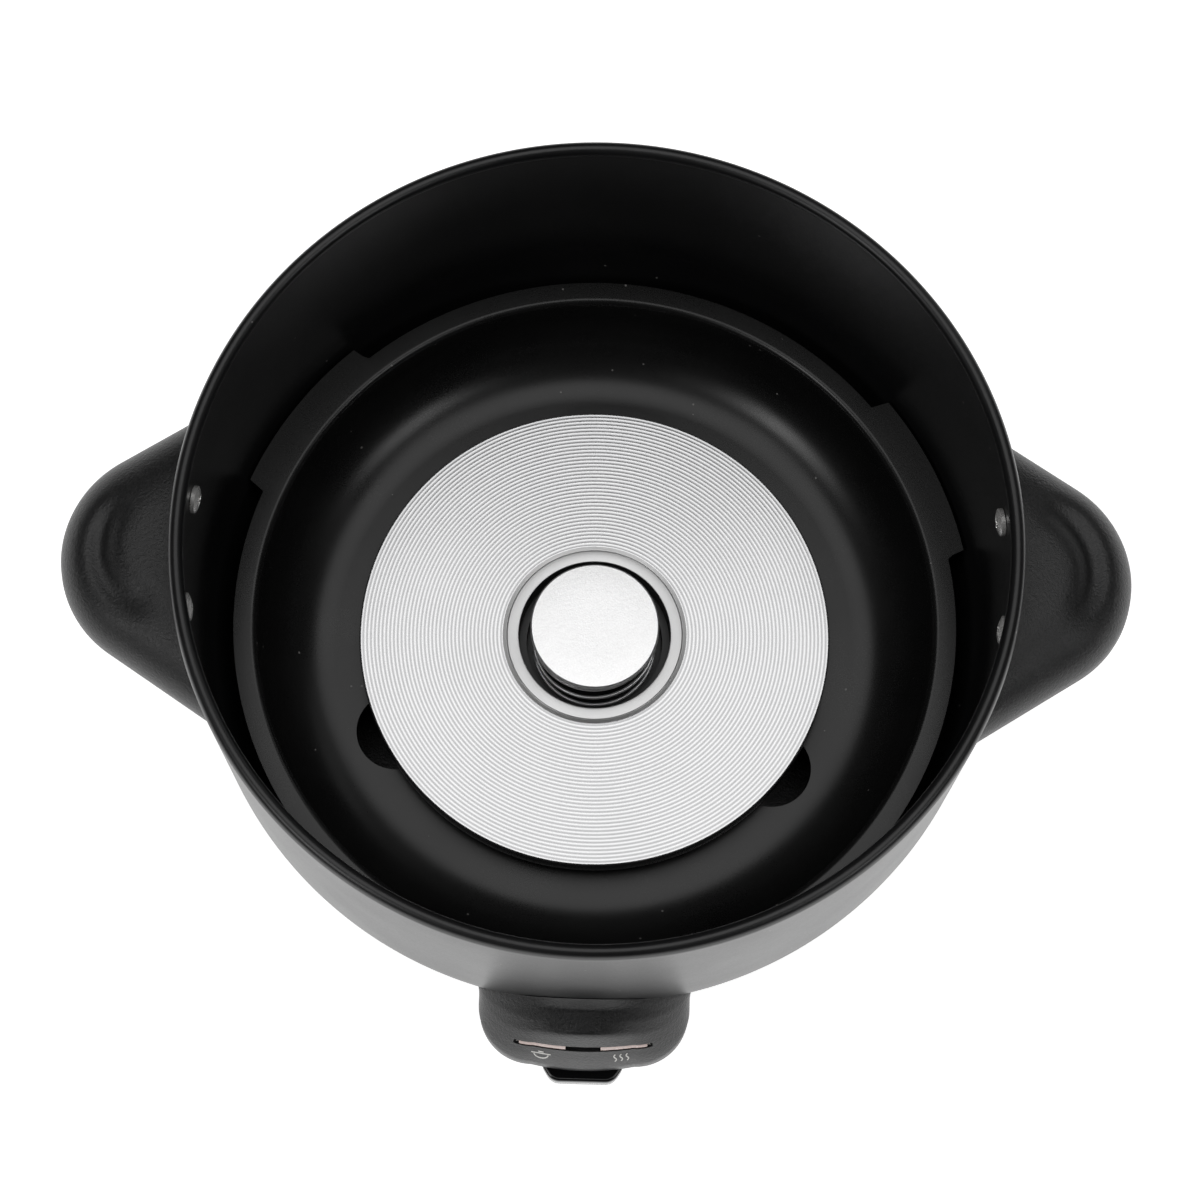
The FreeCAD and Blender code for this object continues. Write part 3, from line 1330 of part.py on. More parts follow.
def inlet():
    """Three-pin power inlet in the rear boss: moulded body with a recess, flat pins and its earth tag."""
    half = dim("inlet_width") / 2
    tall = dim("inlet_tall") / 2
    flange = block(
        "inlet_flange",
        (-half - 2, inlet_face - 2.45, inlet_z - tall - 2),
        (half + 2, inlet_face, inlet_z + tall + 2),
    )
    body_low = (-half, inlet_face - 22, inlet_z - tall)
    body = block("inlet_body", body_low, (half, inlet_face - 1, inlet_z + tall))
    depth = dim("recess_depth")
    wide = dim("recess_width") / 2
    high = dim("recess_tall") / 2
    clip = size(4)
    recess = raised_piece(
        "inlet_recess",
        [[
            corner(-wide, inlet_z - high),
            corner(wide, inlet_z - high),
            corner(wide, inlet_z + high - clip),
            corner(wide - clip, inlet_z + high),
            corner(-wide + clip, inlet_z + high),
            corner(-wide, inlet_z + high - clip),
        ]],
        inlet_face - depth,
        inlet_face + 3,
        "XZ",
    )
    tools = [recess]
    pins = []
    for k, (x, z) in enumerate(INLET_PINS):
        low = (x - 1, inlet_face - 28, inlet_z + z - 2)
        high_point = (x + 1, inlet_face - 3, inlet_z + z + 2)
        pins.append(block(f"inlet_pin{k}", low, high_point))
        grown_low = (x - 1.02, inlet_face - 30, inlet_z + z - 2.02)
        grown_high = (x + 1.02, inlet_face - 5, inlet_z + z + 2.02)
        tools.append(block("inlet_slot", grown_low, grown_high))
    node("inlet_socket", cut("inlet_cut", join("inlet_solid", [flange, body]), tools))
    node("inlet_pins", join("inlet_pins_group", pins))


INLET_PINS = [(-7.0, -2.0), (7.0, -2.0), (0.0, 2.0)]


def lead(label, route):
    """Insulated wire between two terminals."""
    node(label, tube_along(f"{label}_wire", route, dim("lead_radius")))


def earth_tag():
    """Ring tag clamped on the rear left post, with a tongue for the earth wire."""
    x, y = on_circle(POST_CIRCLE, POST_ANGLES[1])
    tag = ring("tag_ring", 6.2, 4.03, 0.8, (x, y, TAG_Z))
    tongue = block("tag_tongue", (x + 5, y - 1.5, TAG_Z), (x + 14, y + 1.5, TAG_Z + 0.8))
    node("earth_tag", join("tag_joined", [tag, tongue]))
    return x + 14, y


TAG_Z = cover_floor + 8.5


def leads(pins, switch_x, lamp_y, lamp_z, tag):
    """Wires that join inlet, fuse, snap switch, element and lamps. Each ends face to face with its tab."""
    tail_y = inlet_face - 28.05
    fuse_z = liner_floor - 3.4
    neutral, live, earth = INLET_PINS
    right, left = pins
    run_z = cover_floor + 3
    terminal_z = SWITCH_Z - 1.4
    over_frame = frame_z + frame_t + 3
    lead("lead_live", [
        (live[0], tail_y, inlet_z + live[1]),
        (live[0], tail_y - 9, inlet_z + live[1]),
        (8, tail_y - 18, inlet_z + 6),
        (10, FUSE_Y + 5, fuse_z - 6),
        (FUSE_X - 20, FUSE_Y, fuse_z),
        (FUSE_X - 10.55, FUSE_Y, fuse_z),
    ])
    lead("lead_fuse", [
        (FUSE_X + 10.55, FUSE_Y, fuse_z),
        (FUSE_X + 17, FUSE_Y, fuse_z),
        (FUSE_X + 20, FUSE_Y - 1, fuse_z - 9),
        (FUSE_X + 14, FUSE_Y - 6, run_z + 9),
        (FUSE_X + 4, FUSE_Y - 24, run_z),
        (34, 6, run_z),
        (33, -18, run_z),
        (32, pivot_y + 12, run_z),
        (24, switch_y + 5, run_z),
        (13, switch_y, terminal_z),
        (switch_x + 1.65, switch_y, terminal_z),
    ])
    lead("lead_neutral", [
        (neutral[0], tail_y, inlet_z + neutral[1]),
        (neutral[0], tail_y - 9, inlet_z + neutral[1]),
        (-20, tail_y - 20, run_z + 2),
        (-34, 44, run_z),
        (-41, 22, run_z),
        (left.x + 2, left.y + 24, run_z + 2),
        (left.x, left.y + 10, left.z - 8),
        (left.x, left.y + 0.45, left.z - 8),
    ])
    lead("lead_switched", [
        (switch_x, switch_y + 8.3, terminal_z),
        (switch_x, switch_y + 15, terminal_z),
        (switch_x, pivot_y + 4, over_frame),
        (switch_x + 4, pivot_y + 18, over_frame),
        (16, pivot_y + 27, over_frame + 1),
        (right.x - 10, right.y, right.z - 8),
        (right.x - 3.05, right.y, right.z - 8),
    ])
    lead("lead_lamps", [
        (-(resistor_x + 6.55), lamp_y, lamp_z - 7.2),
        (-(resistor_x + 10), lamp_y, lamp_z - 7.2),
        (-(resistor_x + 11), lamp_y + 6, lamp_z - 15),
        (-(resistor_x + 8), lamp_y + 9, arm_z + 16),
        (-(resistor_x + 5), lamp_y + 13, arm_z + 2),
        (-12.5, -(cover_r + 4), arm_z - 5),
        (-12.5, -(cover_r - 12), arm_z - 6),
        (-22, pivot_y - 8, arm_z - 7),
        (-33, pivot_y + 16, arm_z - 8),
        (left.x + 3, left.y - 14, left.z - 8),
        (left.x, left.y - 8, left.z - 8),
        (left.x, left.y - 0.45, left.z - 8),
    ])
    lead("lead_earth", [
        (earth[0], tail_y, inlet_z + earth[1]),
        (earth[0], tail_y - 9, inlet_z + earth[1]),
        (-12, tail_y - 20, TAG_Z + 6),
        (-27, tag[1] + 16, TAG_Z + 4),
        (tag[0] + 8, tag[1], TAG_Z + 0.4),
        (tag[0] + 0.05, tag[1], TAG_Z + 0.4),
    ])


# ---------------------------------------------------------------- build and write

outer_shell()
base_cover()
feet()
posts_and_screws()
inner_liner()
element_tips = heating()
warm_heater()
sensor()
magnet_set()
switch_lever()
lever_key()
switch_frame()
switch_centre = snap_switch()
control_box()
lamp_place = lamps()
handle("handle_right", 1)
handle("handle_left", -1)
handle_screws()
inlet()
tag_end = earth_tag()
leads(element_tips, switch_centre, *lamp_place, tag_end)
doc.recompute()

faulty = [thing.Name for thing in doc.Objects if {"Invalid", "Error"} & set(thing.State)]
if faulty:
    raise SystemExit(f"features that failed: {faulty}")

os.makedirs("parts", exist_ok=True)
for piece in nodes:
    shape = piece.Shape
    if shape.isNull() or not shape.isValid() or not shape.Solids:
        raise SystemExit(f"{piece.Label} has no valid solid")
    shape.exportStep(f"parts/{piece.Label}.step")
    print(f"{piece.Label}: {len(shape.Solids)} solid(s), {shape.Volume / 1000:.2f} cm3")
print(f"{len(nodes)} nodes")
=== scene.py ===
# %% [markdown]
# # A rice cooker's base unit
#
# The object is the lower part of a drum-shaped rice cooker with its pot and lid taken out. The CAD model
# gives every part its size and place. This lesson dresses it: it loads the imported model, sets up the studio
# and the camera, mixes the finishes, and then builds the surfaces that show, each worked out as whole arrays.

# %% Load the frame
import json
import math

import bmesh
import bpy
import numpy as np
from mathutils import Matrix, Vector


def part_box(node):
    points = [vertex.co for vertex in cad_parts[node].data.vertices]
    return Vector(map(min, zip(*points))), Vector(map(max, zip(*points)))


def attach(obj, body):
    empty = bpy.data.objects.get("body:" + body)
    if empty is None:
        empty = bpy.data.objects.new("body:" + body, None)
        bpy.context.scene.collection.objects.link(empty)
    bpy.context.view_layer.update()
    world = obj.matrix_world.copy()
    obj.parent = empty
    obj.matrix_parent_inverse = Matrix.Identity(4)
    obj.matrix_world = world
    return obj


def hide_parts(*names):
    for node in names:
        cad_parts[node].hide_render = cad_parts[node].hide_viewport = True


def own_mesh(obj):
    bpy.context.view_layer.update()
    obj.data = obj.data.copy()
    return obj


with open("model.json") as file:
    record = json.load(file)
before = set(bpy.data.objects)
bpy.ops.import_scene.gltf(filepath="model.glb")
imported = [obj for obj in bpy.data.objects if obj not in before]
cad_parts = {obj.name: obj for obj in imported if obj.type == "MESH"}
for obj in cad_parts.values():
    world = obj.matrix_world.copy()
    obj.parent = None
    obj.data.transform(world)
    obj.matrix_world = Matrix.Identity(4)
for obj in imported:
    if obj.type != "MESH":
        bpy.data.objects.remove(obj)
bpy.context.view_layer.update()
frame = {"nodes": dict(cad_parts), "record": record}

MM = 0.001
scene = bpy.context.scene

# %% [markdown]
# ## Sizes taken from the frame
#
# Every number that belongs to a part is read from that part's box. The drum gives the rim's height and its
# radius, the plate gives the level of its top, and so on. Only walls and small radii are written as numbers.

# %% Sizes
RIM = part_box("outer_shell")[1].z
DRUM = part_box("outer_shell")[1].x
SKIRT_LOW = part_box("outer_shell")[0].z
PLATE_LOW, PLATE_TOP = (corner.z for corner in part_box("heating_plate"))
PLATE_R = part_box("heating_plate")[1].x
CAP_LOW, CAP_TOP = (corner.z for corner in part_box("sensor_cap"))
CAP_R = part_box("sensor_cap")[1].x
LINER_LOW, LIP = (corner.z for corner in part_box("inner_liner"))
print("rim", RIM, "drum radius", DRUM, "plate top", PLATE_TOP, "cap top", CAP_TOP)

# %% [markdown]
# ## Camera and studio
#
# The camera looks down from high above the front, nearly along the drum's axis, with a long lens. Its aim is
# turned a little by a pan, a tilt and a roll, as a hand-set camera is. The floor is a glowing white table
# under a dim ceiling, with one large soft box overhead, so black enamel shows only what it mirrors.

# %% Camera
ELEVATION = math.radians(72.048)
DISTANCE = 0.8
PAN = 0.001532
TILT = -0.023846
ROLL = 0.033256
LENS = 86.01
SENSOR = 36.0


def aim_camera():
    """The camera's axes: a look at the rim's centre, then panned and tilted, then rolled about the view."""
    offset = Vector((0, -math.cos(ELEVATION), math.sin(ELEVATION))) * DISTANCE
    look = -offset.normalized()
    right = Vector((1, 0, 0))
    up = right.cross(look)
    look = (look + right * math.tan(PAN) + up * math.tan(TILT)).normalized()
    right = look.cross(Vector((0, 0, 1))).normalized()
    up = right.cross(look)
    rolled_right = right * math.cos(ROLL) + up * math.sin(ROLL)
    rolled_up = up * math.cos(ROLL) - right * math.sin(ROLL)
    place = Matrix((rolled_right, rolled_up, -look)).transposed().to_4x4()
    place.translation = offset + Vector((0, 0, RIM))
    return place


camera_data = bpy.data.cameras.new("camera")
camera_data.lens = LENS
camera_data.sensor_width = SENSOR
camera = bpy.data.objects.new("camera", camera_data)
scene.collection.objects.link(camera)
camera.matrix_world = aim_camera()
scene.camera = camera
scene.view_settings.view_transform = "Standard"
print("camera at", [round(v, 3) for v in camera.location])

# %% Floor and lights
FLOOR_SIZE = 24.0
FLOOR_GLOW = 0.93
CEILING = 0.035
LAMPS = [
    # name, place, aim, width, depth, radiance
    ("overhead_box", (0.0, 0.15, 1.55), (0, 0, 0.1), 1.35, 1.12, 1.6),
    ("side_box_left", (-1.1, -0.75, 1.35), (0, 0, 0.1), 0.6, 0.6, 3.2),
    ("side_box_right", (1.1, -0.75, 1.35), (0, 0, 0.1), 0.6, 0.6, 3.2),
    ("strip_back_right", (0.85, 0.95, 0.95), (0, 0, 0.1), 0.35, 0.9, 0.6),
    ("strip_front_left", (-0.85, -0.75, 1.0), (0, 0, 0.1), 0.35, 0.9, 1.4),
]


def soft_lamp(name, place, aim, width, depth, radiance):
    """Rectangular light; its power is radiance times pi times its area."""
    light = bpy.data.lights.new(name, "AREA")
    light.shape = "RECTANGLE"
    light.size, light.size_y = width, depth
    light.energy = radiance * math.pi * width * depth
    lamp = bpy.data.objects.new(name, light)
    lamp.location = place
    lamp.rotation_euler = (Vector(aim) - lamp.location).to_track_quat("-Z", "Y").to_euler()
    scene.collection.objects.link(lamp)


def studio():
    """A back-lit white table, a dim even ceiling and the soft boxes."""
    mesh = bpy.data.meshes.new("floor")
    half = FLOOR_SIZE / 2
    corners = [(-half, -half, 0), (half, -half, 0), (half, half, 0), (-half, half, 0)]
    mesh.from_pydata(corners, [], [(0, 1, 2, 3)])
    floor = bpy.data.objects.new("floor", mesh)
    scene.collection.objects.link(floor)
    paint = bpy.data.materials.new("light_table")
    paint.use_nodes = True
    shader = paint.node_tree.nodes["Principled BSDF"]
    for label, value in (("Base Color", (0.8, 0.8, 0.8, 1)), ("Roughness", 0.9), ("Specular IOR Level", 0.1),
                         ("Emission Color", (1, 1, 1, 1)), ("Emission Strength", FLOOR_GLOW)):
        shader.inputs[label].default_value = value
    mesh.materials.append(paint)
    world = bpy.data.worlds.new("ceiling")
    world.use_nodes = True
    world.node_tree.nodes["Background"].inputs["Color"].default_value = (1, 1, 1, 1)
    world.node_tree.nodes["Background"].inputs["Strength"].default_value = CEILING
    scene.world = world
    for lamp in LAMPS:
        soft_lamp(*lamp)
    print(len(LAMPS), "soft boxes over a light table")


studio()

# %% [markdown]
# ## Effects that several finishes share
#
# Moulded, painted and rolled surfaces are never one flat colour. Three small node groups carry what they have
# in common: a fine grain, dust that settles on top, and a slow drift of tone. Each puts out a plain mask or
# height, and every finish places them with its own values.

# %% Node groups


def new_group(name, inputs, outputs):
    """An empty shader group with named number inputs and typed outputs."""
    group = bpy.data.node_groups.new(name, "ShaderNodeTree")
    for label, value in inputs:
        socket = group.interface.new_socket(label, in_out="INPUT", socket_type="NodeSocketFloat")
        socket.default_value = value
    for label, kind in outputs:
        group.interface.new_socket(label, in_out="OUTPUT", socket_type=kind)
    return group, group.nodes.new("NodeGroupInput"), group.nodes.new("NodeGroupOutput")


def feed(tree, value, socket):
    """Give a socket a number, or link another socket to it."""
    if isinstance(value, (int, float)):
        socket.default_value = value
    else:
        tree.links.new(value, socket)


def math_node(tree, operation, first, second=None, third=None, clamp=False):
    """One arithmetic node; each operand is a socket or a number."""
    node = tree.nodes.new("ShaderNodeMath")
    node.operation = operation
    node.use_clamp = clamp
    for socket, value in zip(node.inputs, (first, second, third)):
        if value is not None:
            feed(tree, value, socket)
    return node.outputs[0]


def noise_node(tree, scale, detail=3.0, rough=0.55):
    """Noise on the object's own coordinates. scale is a number or a socket."""
    place = tree.nodes.new("ShaderNodeTexCoord")
    node = tree.nodes.new("ShaderNodeTexNoise")
    node.inputs["Detail"].default_value = detail
    node.inputs["Roughness"].default_value = rough
    feed(tree, scale, node.inputs["Scale"])
    tree.links.new(place.outputs["Object"], node.inputs["Vector"])
    return node.outputs["Fac"]


def grain_group():
    """Fine pebble grain of a spark-eroded mould: two sizes of noise added, as a height."""
    group, inside, outside = new_group("grain", [("Scale", 1500.0)], [("Height", "NodeSocketFloat")])
    coarse = noise_node(group, inside.outputs["Scale"], 2.0)
    fine = noise_node(group, math_node(group, "MULTIPLY", inside.outputs["Scale"], 2.7), 1.0)
    total = math_node(group, "MULTIPLY_ADD", coarse, 0.65, math_node(group, "MULTIPLY", fine, 0.35))
    group.links.new(total, outside.inputs["Height"])
    return group


def drift_group():
    """Slow change of tone over a surface: large noise stretched to 0..1."""
    group, inside, outside = new_group("drift", [("Scale", 25.0)], [("Mask", "NodeSocketFloat")])
    wide = noise_node(group, inside.outputs["Scale"], 4.0, 0.6)
    spread = math_node(group, "MULTIPLY_ADD", wide, 2.2, -0.6, clamp=True)
    group.links.new(spread, outside.inputs["Mask"])
    return group


SPECK_SIZE = 0.11  # of a cell
SPECK_SHARE = 0.12  # of the cells, at full amount


def dust_group():
    """Sparse specks: the middles of a point pattern's cells, of which only a chosen share is kept."""
    group, inside, outside = new_group(
        "dust", [("Scale", 260.0), ("Amount", 0.5)], [("Mask", "NodeSocketFloat")]
    )
    place = group.nodes.new("ShaderNodeTexCoord")
    cells = group.nodes.new("ShaderNodeTexVoronoi")
    group.links.new(place.outputs["Object"], cells.inputs["Vector"])
    group.links.new(inside.outputs["Scale"], cells.inputs["Scale"])
    speck = math_node(group, "LESS_THAN", cells.outputs["Distance"], SPECK_SIZE)
    split = group.nodes.new("ShaderNodeSeparateColor")
    group.links.new(cells.outputs["Color"], split.inputs["Color"])
    share = math_node(group, "MULTIPLY", inside.outputs["Amount"], SPECK_SHARE)
    chosen = math_node(group, "LESS_THAN", split.outputs["Red"], share)
    total = math_node(group, "MULTIPLY", speck, chosen)
    group.links.new(total, outside.inputs["Mask"])
    return group


GRAIN = grain_group()
DRIFT = drift_group()
DUST = dust_group()

# %% [markdown]
# ## Finishes
#
# A finish is one Principled shader with its constants set on its own sockets, and a few masks in front of
# its colour, roughness and normal. The helper below mixes two tones with the drift, adds dust, and makes the
# grain a bump. Each finish then differs only in its values.

# %% Finish helper


def use(tree, group, **values):
    """Place a shared group in a material with its own values."""
    node = tree.nodes.new("ShaderNodeGroup")
    node.node_tree = group
    for label, value in values.items():
        node.inputs[label].default_value = value
    return node.outputs[0]


def blend_colour(tree, mask, first, second):
    """Colour between two tones. Each tone is a colour triple or a socket."""
    node = tree.nodes.new("ShaderNodeMix")
    node.data_type = "RGBA"
    tree.links.new(mask, node.inputs["Factor"])
    for socket, tone in ((node.inputs[6], first), (node.inputs[7], second)):
        if isinstance(tone, tuple):
            socket.default_value = (*tone, 1)
        else:
            tree.links.new(tone, socket)
    return node.outputs[2]


DUST_SCALE = 300.0
DUST_TONE = (0.18, 0.175, 0.17)
GRAIN_ROUGH = 0.12  # how far the grain swings the roughness


def finish(name, tones, rough, metallic=0.0, grain=None, bump=0.0, dust=0.0, drift=25.0, **constants):
    """A surface finish. tones and rough are pairs; grain is the grain's scale and bump its depth."""
    material = bpy.data.materials.new(name)
    material.use_nodes = True
    tree = material.node_tree
    shader = tree.nodes["Principled BSDF"]
    shader.inputs["Metallic"].default_value = metallic
    for label, value in constants.items():
        shader.inputs[label.replace("_", " ")].default_value = value
    mask = use(tree, DRIFT, Scale=drift)
    colour = blend_colour(tree, mask, *tones)
    roughness = math_node(tree, "MULTIPLY_ADD", mask, rough[1] - rough[0], rough[0])
    if dust:
        specks = use(tree, DUST, Scale=DUST_SCALE, Amount=dust)
        colour = blend_colour(tree, specks, colour, DUST_TONE)
    if grain:
        height = use(tree, GRAIN, Scale=grain)
        relief = tree.nodes.new("ShaderNodeBump")
        relief.inputs["Distance"].default_value = bump
        relief.inputs["Strength"].default_value = 1.0
        tree.links.new(height, relief.inputs["Height"])
        tree.links.new(relief.outputs["Normal"], shader.inputs["Normal"])
        worn = math_node(tree, "MULTIPLY_ADD", height, GRAIN_ROUGH, -GRAIN_ROUGH / 2)
        roughness = math_node(tree, "ADD", roughness, worn, clamp=True)
    tree.links.new(colour, shader.inputs["Base Color"])
    tree.links.new(roughness, shader.inputs["Roughness"])
    return material


GROOVE_PITCH = 1.2 * MM
PLATE_EDGE = 0.6 * MM
GROOVE_OUTER = PLATE_R - PLATE_EDGE
RECESS_R = 28.9 * MM
HOLE_R = 23.8 * MM


def plate_finish():
    """Turned aluminium: bright, blasted in the recess, and painted near black on the wall of the hole as
    painted shade.
    """
    material = finish("turned_aluminium", ((0.65, 0.65, 0.655), (0.71, 0.71, 0.715)), (0.24, 0.30),
                      metallic=1.0, grain=2500.0, bump=0.000006)
    tree = material.node_tree
    shader = tree.nodes["Principled BSDF"]
    place = tree.nodes.new("ShaderNodeTexCoord")
    split = tree.nodes.new("ShaderNodeSeparateXYZ")
    tree.links.new(place.outputs["Object"], split.inputs["Vector"])
    across = math_node(tree, "MULTIPLY", split.outputs["X"], split.outputs["X"])
    square = math_node(tree, "MULTIPLY_ADD", split.outputs["Y"], split.outputs["Y"], across)
    radius = math_node(tree, "SQRT", square)
    recess = math_node(tree, "LESS_THAN", radius, RECESS_R - 0.05 * MM)
    hole_wall_shade_mask = math_node(tree, "LESS_THAN", radius, HOLE_R + 0.04 * MM)
    # Painted shade: each groove's bottom is painted darker grey, a mask sin^2 of the place within the pitch.
    phase = math.pi / GROOVE_PITCH
    swing = math_node(tree, "SINE", math_node(tree, "MULTIPLY_ADD", radius, -phase, phase * GROOVE_OUTER))
    groove_shade = math_node(tree, "MULTIPLY", swing, swing)
    bright = shader.inputs["Base Color"].links[0].from_socket
    colour = blend_colour(tree, groove_shade, bright, (0.37, 0.37, 0.375))
    rough = shader.inputs["Roughness"].links[0].from_socket
    lighter = blend_colour(tree, recess, colour, (0.56, 0.56, 0.56))
    # Painted shade: the wall of the hole is painted near black, standing in for the shadow inside the hole.
    tree.links.new(blend_colour(tree, hole_wall_shade_mask, lighter, (0.02, 0.019, 0.018)), shader.inputs["Base Color"])
    blasted = math_node(tree, "MULTIPLY_ADD", recess, 0.10, rough, clamp=True)
    tree.links.new(blasted, shader.inputs["Roughness"])
    return material


# %% The finishes
FINISHES = {
    "black_sheet": finish("satin_enamel", ((0.006, 0.006, 0.0065), (0.010, 0.010, 0.0105)), (0.30, 0.36),
                          grain=1400.0, bump=0.000012, dust=0.25, Specular_IOR_Level=0.42),
    "liner_black": finish("liner_coating", ((0.006, 0.006, 0.006), (0.010, 0.010, 0.010)), (0.26, 0.32),
                          grain=1800.0, bump=0.000010, dust=0.5, Specular_IOR_Level=0.40),
    "black_plastic": finish("moulded_black", ((0.003, 0.003, 0.0032), (0.018, 0.018, 0.0183)), (0.34, 0.48),
                            grain=1150.0, bump=0.00024, drift=1400.0, Specular_IOR_Level=0.5),
    "gloss_black": finish("gloss_moulding", ((0.006, 0.006, 0.0065), (0.009, 0.009, 0.0095)), (0.10, 0.16),
                          grain=900.0, bump=0.000004),
    "rubber": finish("foot_rubber", ((0.014, 0.014, 0.0145), (0.024, 0.024, 0.0245)), (0.7, 0.82),
                     grain=1200.0, bump=0.00005, dust=0.4),
    "turned_aluminium": plate_finish(),
    "cap_aluminium": finish("blasted_aluminium", ((0.84, 0.84, 0.842), (0.97, 0.97, 0.97)), (0.32, 0.40),
                            metallic=0.85, grain=1900.0, bump=0.00006, drift=1500.0),
    "zinc_steel": finish("zinc_plated", ((0.46, 0.47, 0.49), (0.60, 0.61, 0.63)), (0.30, 0.42), metallic=1.0,
                         grain=700.0, bump=0.000012, drift=60.0),
    "spring_steel": finish("spring_wire", ((0.84, 0.84, 0.85), (0.92, 0.92, 0.93)), (0.22, 0.30),
                           metallic=0.5, grain=2000.0, bump=0.000006),
    "screw_steel": finish("screw_plating", ((0.90, 0.89, 0.87), (0.98, 0.97, 0.95)), (0.24, 0.32),
                          metallic=0.6, grain=1600.0, bump=0.000008, drift=300.0),
    "sheath_steel": finish("element_sheath", ((0.22, 0.20, 0.19), (0.36, 0.30, 0.24)), (0.35, 0.5),
                           metallic=1.0, grain=900.0, bump=0.00002, drift=45.0),
    "ferrite_grey": finish("sintered_ferrite", ((0.030, 0.030, 0.032), (0.050, 0.050, 0.052)), (0.5, 0.6),
                           metallic=0.3, grain=1800.0, bump=0.00003),
    "brass": finish("plain_brass", ((0.62, 0.44, 0.17), (0.72, 0.54, 0.25)), (0.22, 0.34), metallic=1.0,
                    grain=900.0, bump=0.000012, drift=120.0),
    "tin_plate": finish("tinned", ((0.58, 0.58, 0.57), (0.70, 0.70, 0.69)), (0.26, 0.36), metallic=1.0,
                        grain=1100.0, bump=0.000012, drift=150.0),
    "mica": finish("mica_board", ((0.34, 0.27, 0.17), (0.52, 0.44, 0.30)), (0.35, 0.5), grain=500.0,
                   bump=0.00006, drift=140.0),
    "white_plastic": finish("heat_resistant_white", ((0.66, 0.65, 0.62), (0.74, 0.73, 0.70)), (0.4, 0.5),
                            grain=1100.0, bump=0.00002),
    "switch_plastic": finish("switch_moulding", ((0.02, 0.02, 0.022), (0.03, 0.03, 0.032)), (0.38, 0.46),
                             grain=1500.0, bump=0.00002),
    "red_plastic": finish("plunger_red", ((0.42, 0.02, 0.015), (0.55, 0.04, 0.03)), (0.25, 0.35),
                          grain=1500.0, bump=0.00001),
    "window_rose": finish("rose_window", ((0.62, 0.47, 0.43), (0.72, 0.58, 0.54)), (0.22, 0.30),
                          grain=800.0, bump=0.00001, drift=200.0, Coat_Weight=0.3),
    "lamp_glass": finish("lamp_glass", ((0.9, 0.62, 0.42), (0.95, 0.74, 0.55)), (0.04, 0.08),
                         grain=300.0, bump=0.00001, Transmission_Weight=0.6),
    "resistor_tan": finish("resistor_coat", ((0.48, 0.36, 0.2), (0.58, 0.46, 0.28)), (0.4, 0.5),
                           grain=1200.0, bump=0.00003),
}
WIRE_TONES = {
    "white": ((0.62, 0.62, 0.60), (0.72, 0.72, 0.70)),
    "red": ((0.38, 0.022, 0.018), (0.48, 0.04, 0.03)),
    "blue": ((0.02, 0.06, 0.26), (0.035, 0.09, 0.34)),
    "green": ((0.05, 0.2, 0.02), (0.09, 0.3, 0.04)),
}
for hue, tones in WIRE_TONES.items():
    FINISHES["wire_" + hue] = finish("silicone_" + hue, tones, (0.45, 0.55), grain=1400.0, bump=0.00002,
                                     drift=80.0)
print(len(FINISHES), "finishes")

# %% Dress every CAD part
SLOT_OF = {part["node"]: part["material_slot"] for part in frame["record"]["subparts"]}
for name, thing in frame["nodes"].items():
    thing.data.materials.clear()
    thing.data.materials.append(FINISHES[SLOT_OF[name]])
print(len(frame["nodes"]), "CAD parts dressed")

# %% [markdown]
# ## Turning a profile into a surface
#
# Most of the object is turned or drawn sheet, so one helper does the heavy work: a closed profile of radius
# and height is carried round the axis as whole arrays. Corners are rounded first, each by a short arc.

# %% Profile helpers


def rounded(corners, steps=6):
    """Closed outline, as an array, with each corner (x, y, radius) replaced by a tangent arc."""
    points = np.array([(x, y) for x, y, _ in corners], float)
    out = []
    neighbours = zip(points, np.roll(points, 1, 0), np.roll(points, -1, 0), corners)
    for here, before, after, (*_, radius) in neighbours:
        come = here - before
        leave = after - here
        come_length, leave_length = np.linalg.norm(come), np.linalg.norm(leave)
        come, leave = come / come_length, leave / leave_length
        turn = math.acos(np.clip(come @ leave, -1, 1))
        if radius <= 0 or turn < 1e-3:
            out.append(here[None])
            continue
        trim = min(radius * math.tan(turn / 2), 0.49 * come_length, 0.49 * leave_length)
        radius = trim / math.tan(turn / 2)
        side = np.sign(come[0] * leave[1] - come[1] * leave[0])
        centre = here - come * trim + side * radius * np.array((-come[1], come[0]))
        start = here - come * trim - centre
        angles = np.linspace(0, side * turn, steps + 1)[:, None]
        spin = np.array((-start[1], start[0]))
        out.append(centre + start * np.cos(angles) + spin * np.sin(angles))
    return np.concatenate(out)


def arc(cx, cy, radius, start, end, steps):
    """Points of an arc about a centre, from one angle in degrees to another."""
    angles = np.radians(np.linspace(start, end, steps + 1))
    return np.stack((cx + radius * np.cos(angles), cy + radius * np.sin(angles)), 1)


def grid_faces(rows, columns, wrap_rows=True, wrap_columns=True):
    """Quads over a grid of points stored row by row."""
    i = np.arange(rows if wrap_rows else rows - 1)[:, None]
    j = np.arange(columns if wrap_columns else columns - 1)[None, :]
    i2, j2 = (i + 1) % rows, (j + 1) % columns
    quads = np.stack((i * columns + j, i2 * columns + j, i2 * columns + j2, i * columns + j2), -1)
    return quads.reshape(-1, 4)


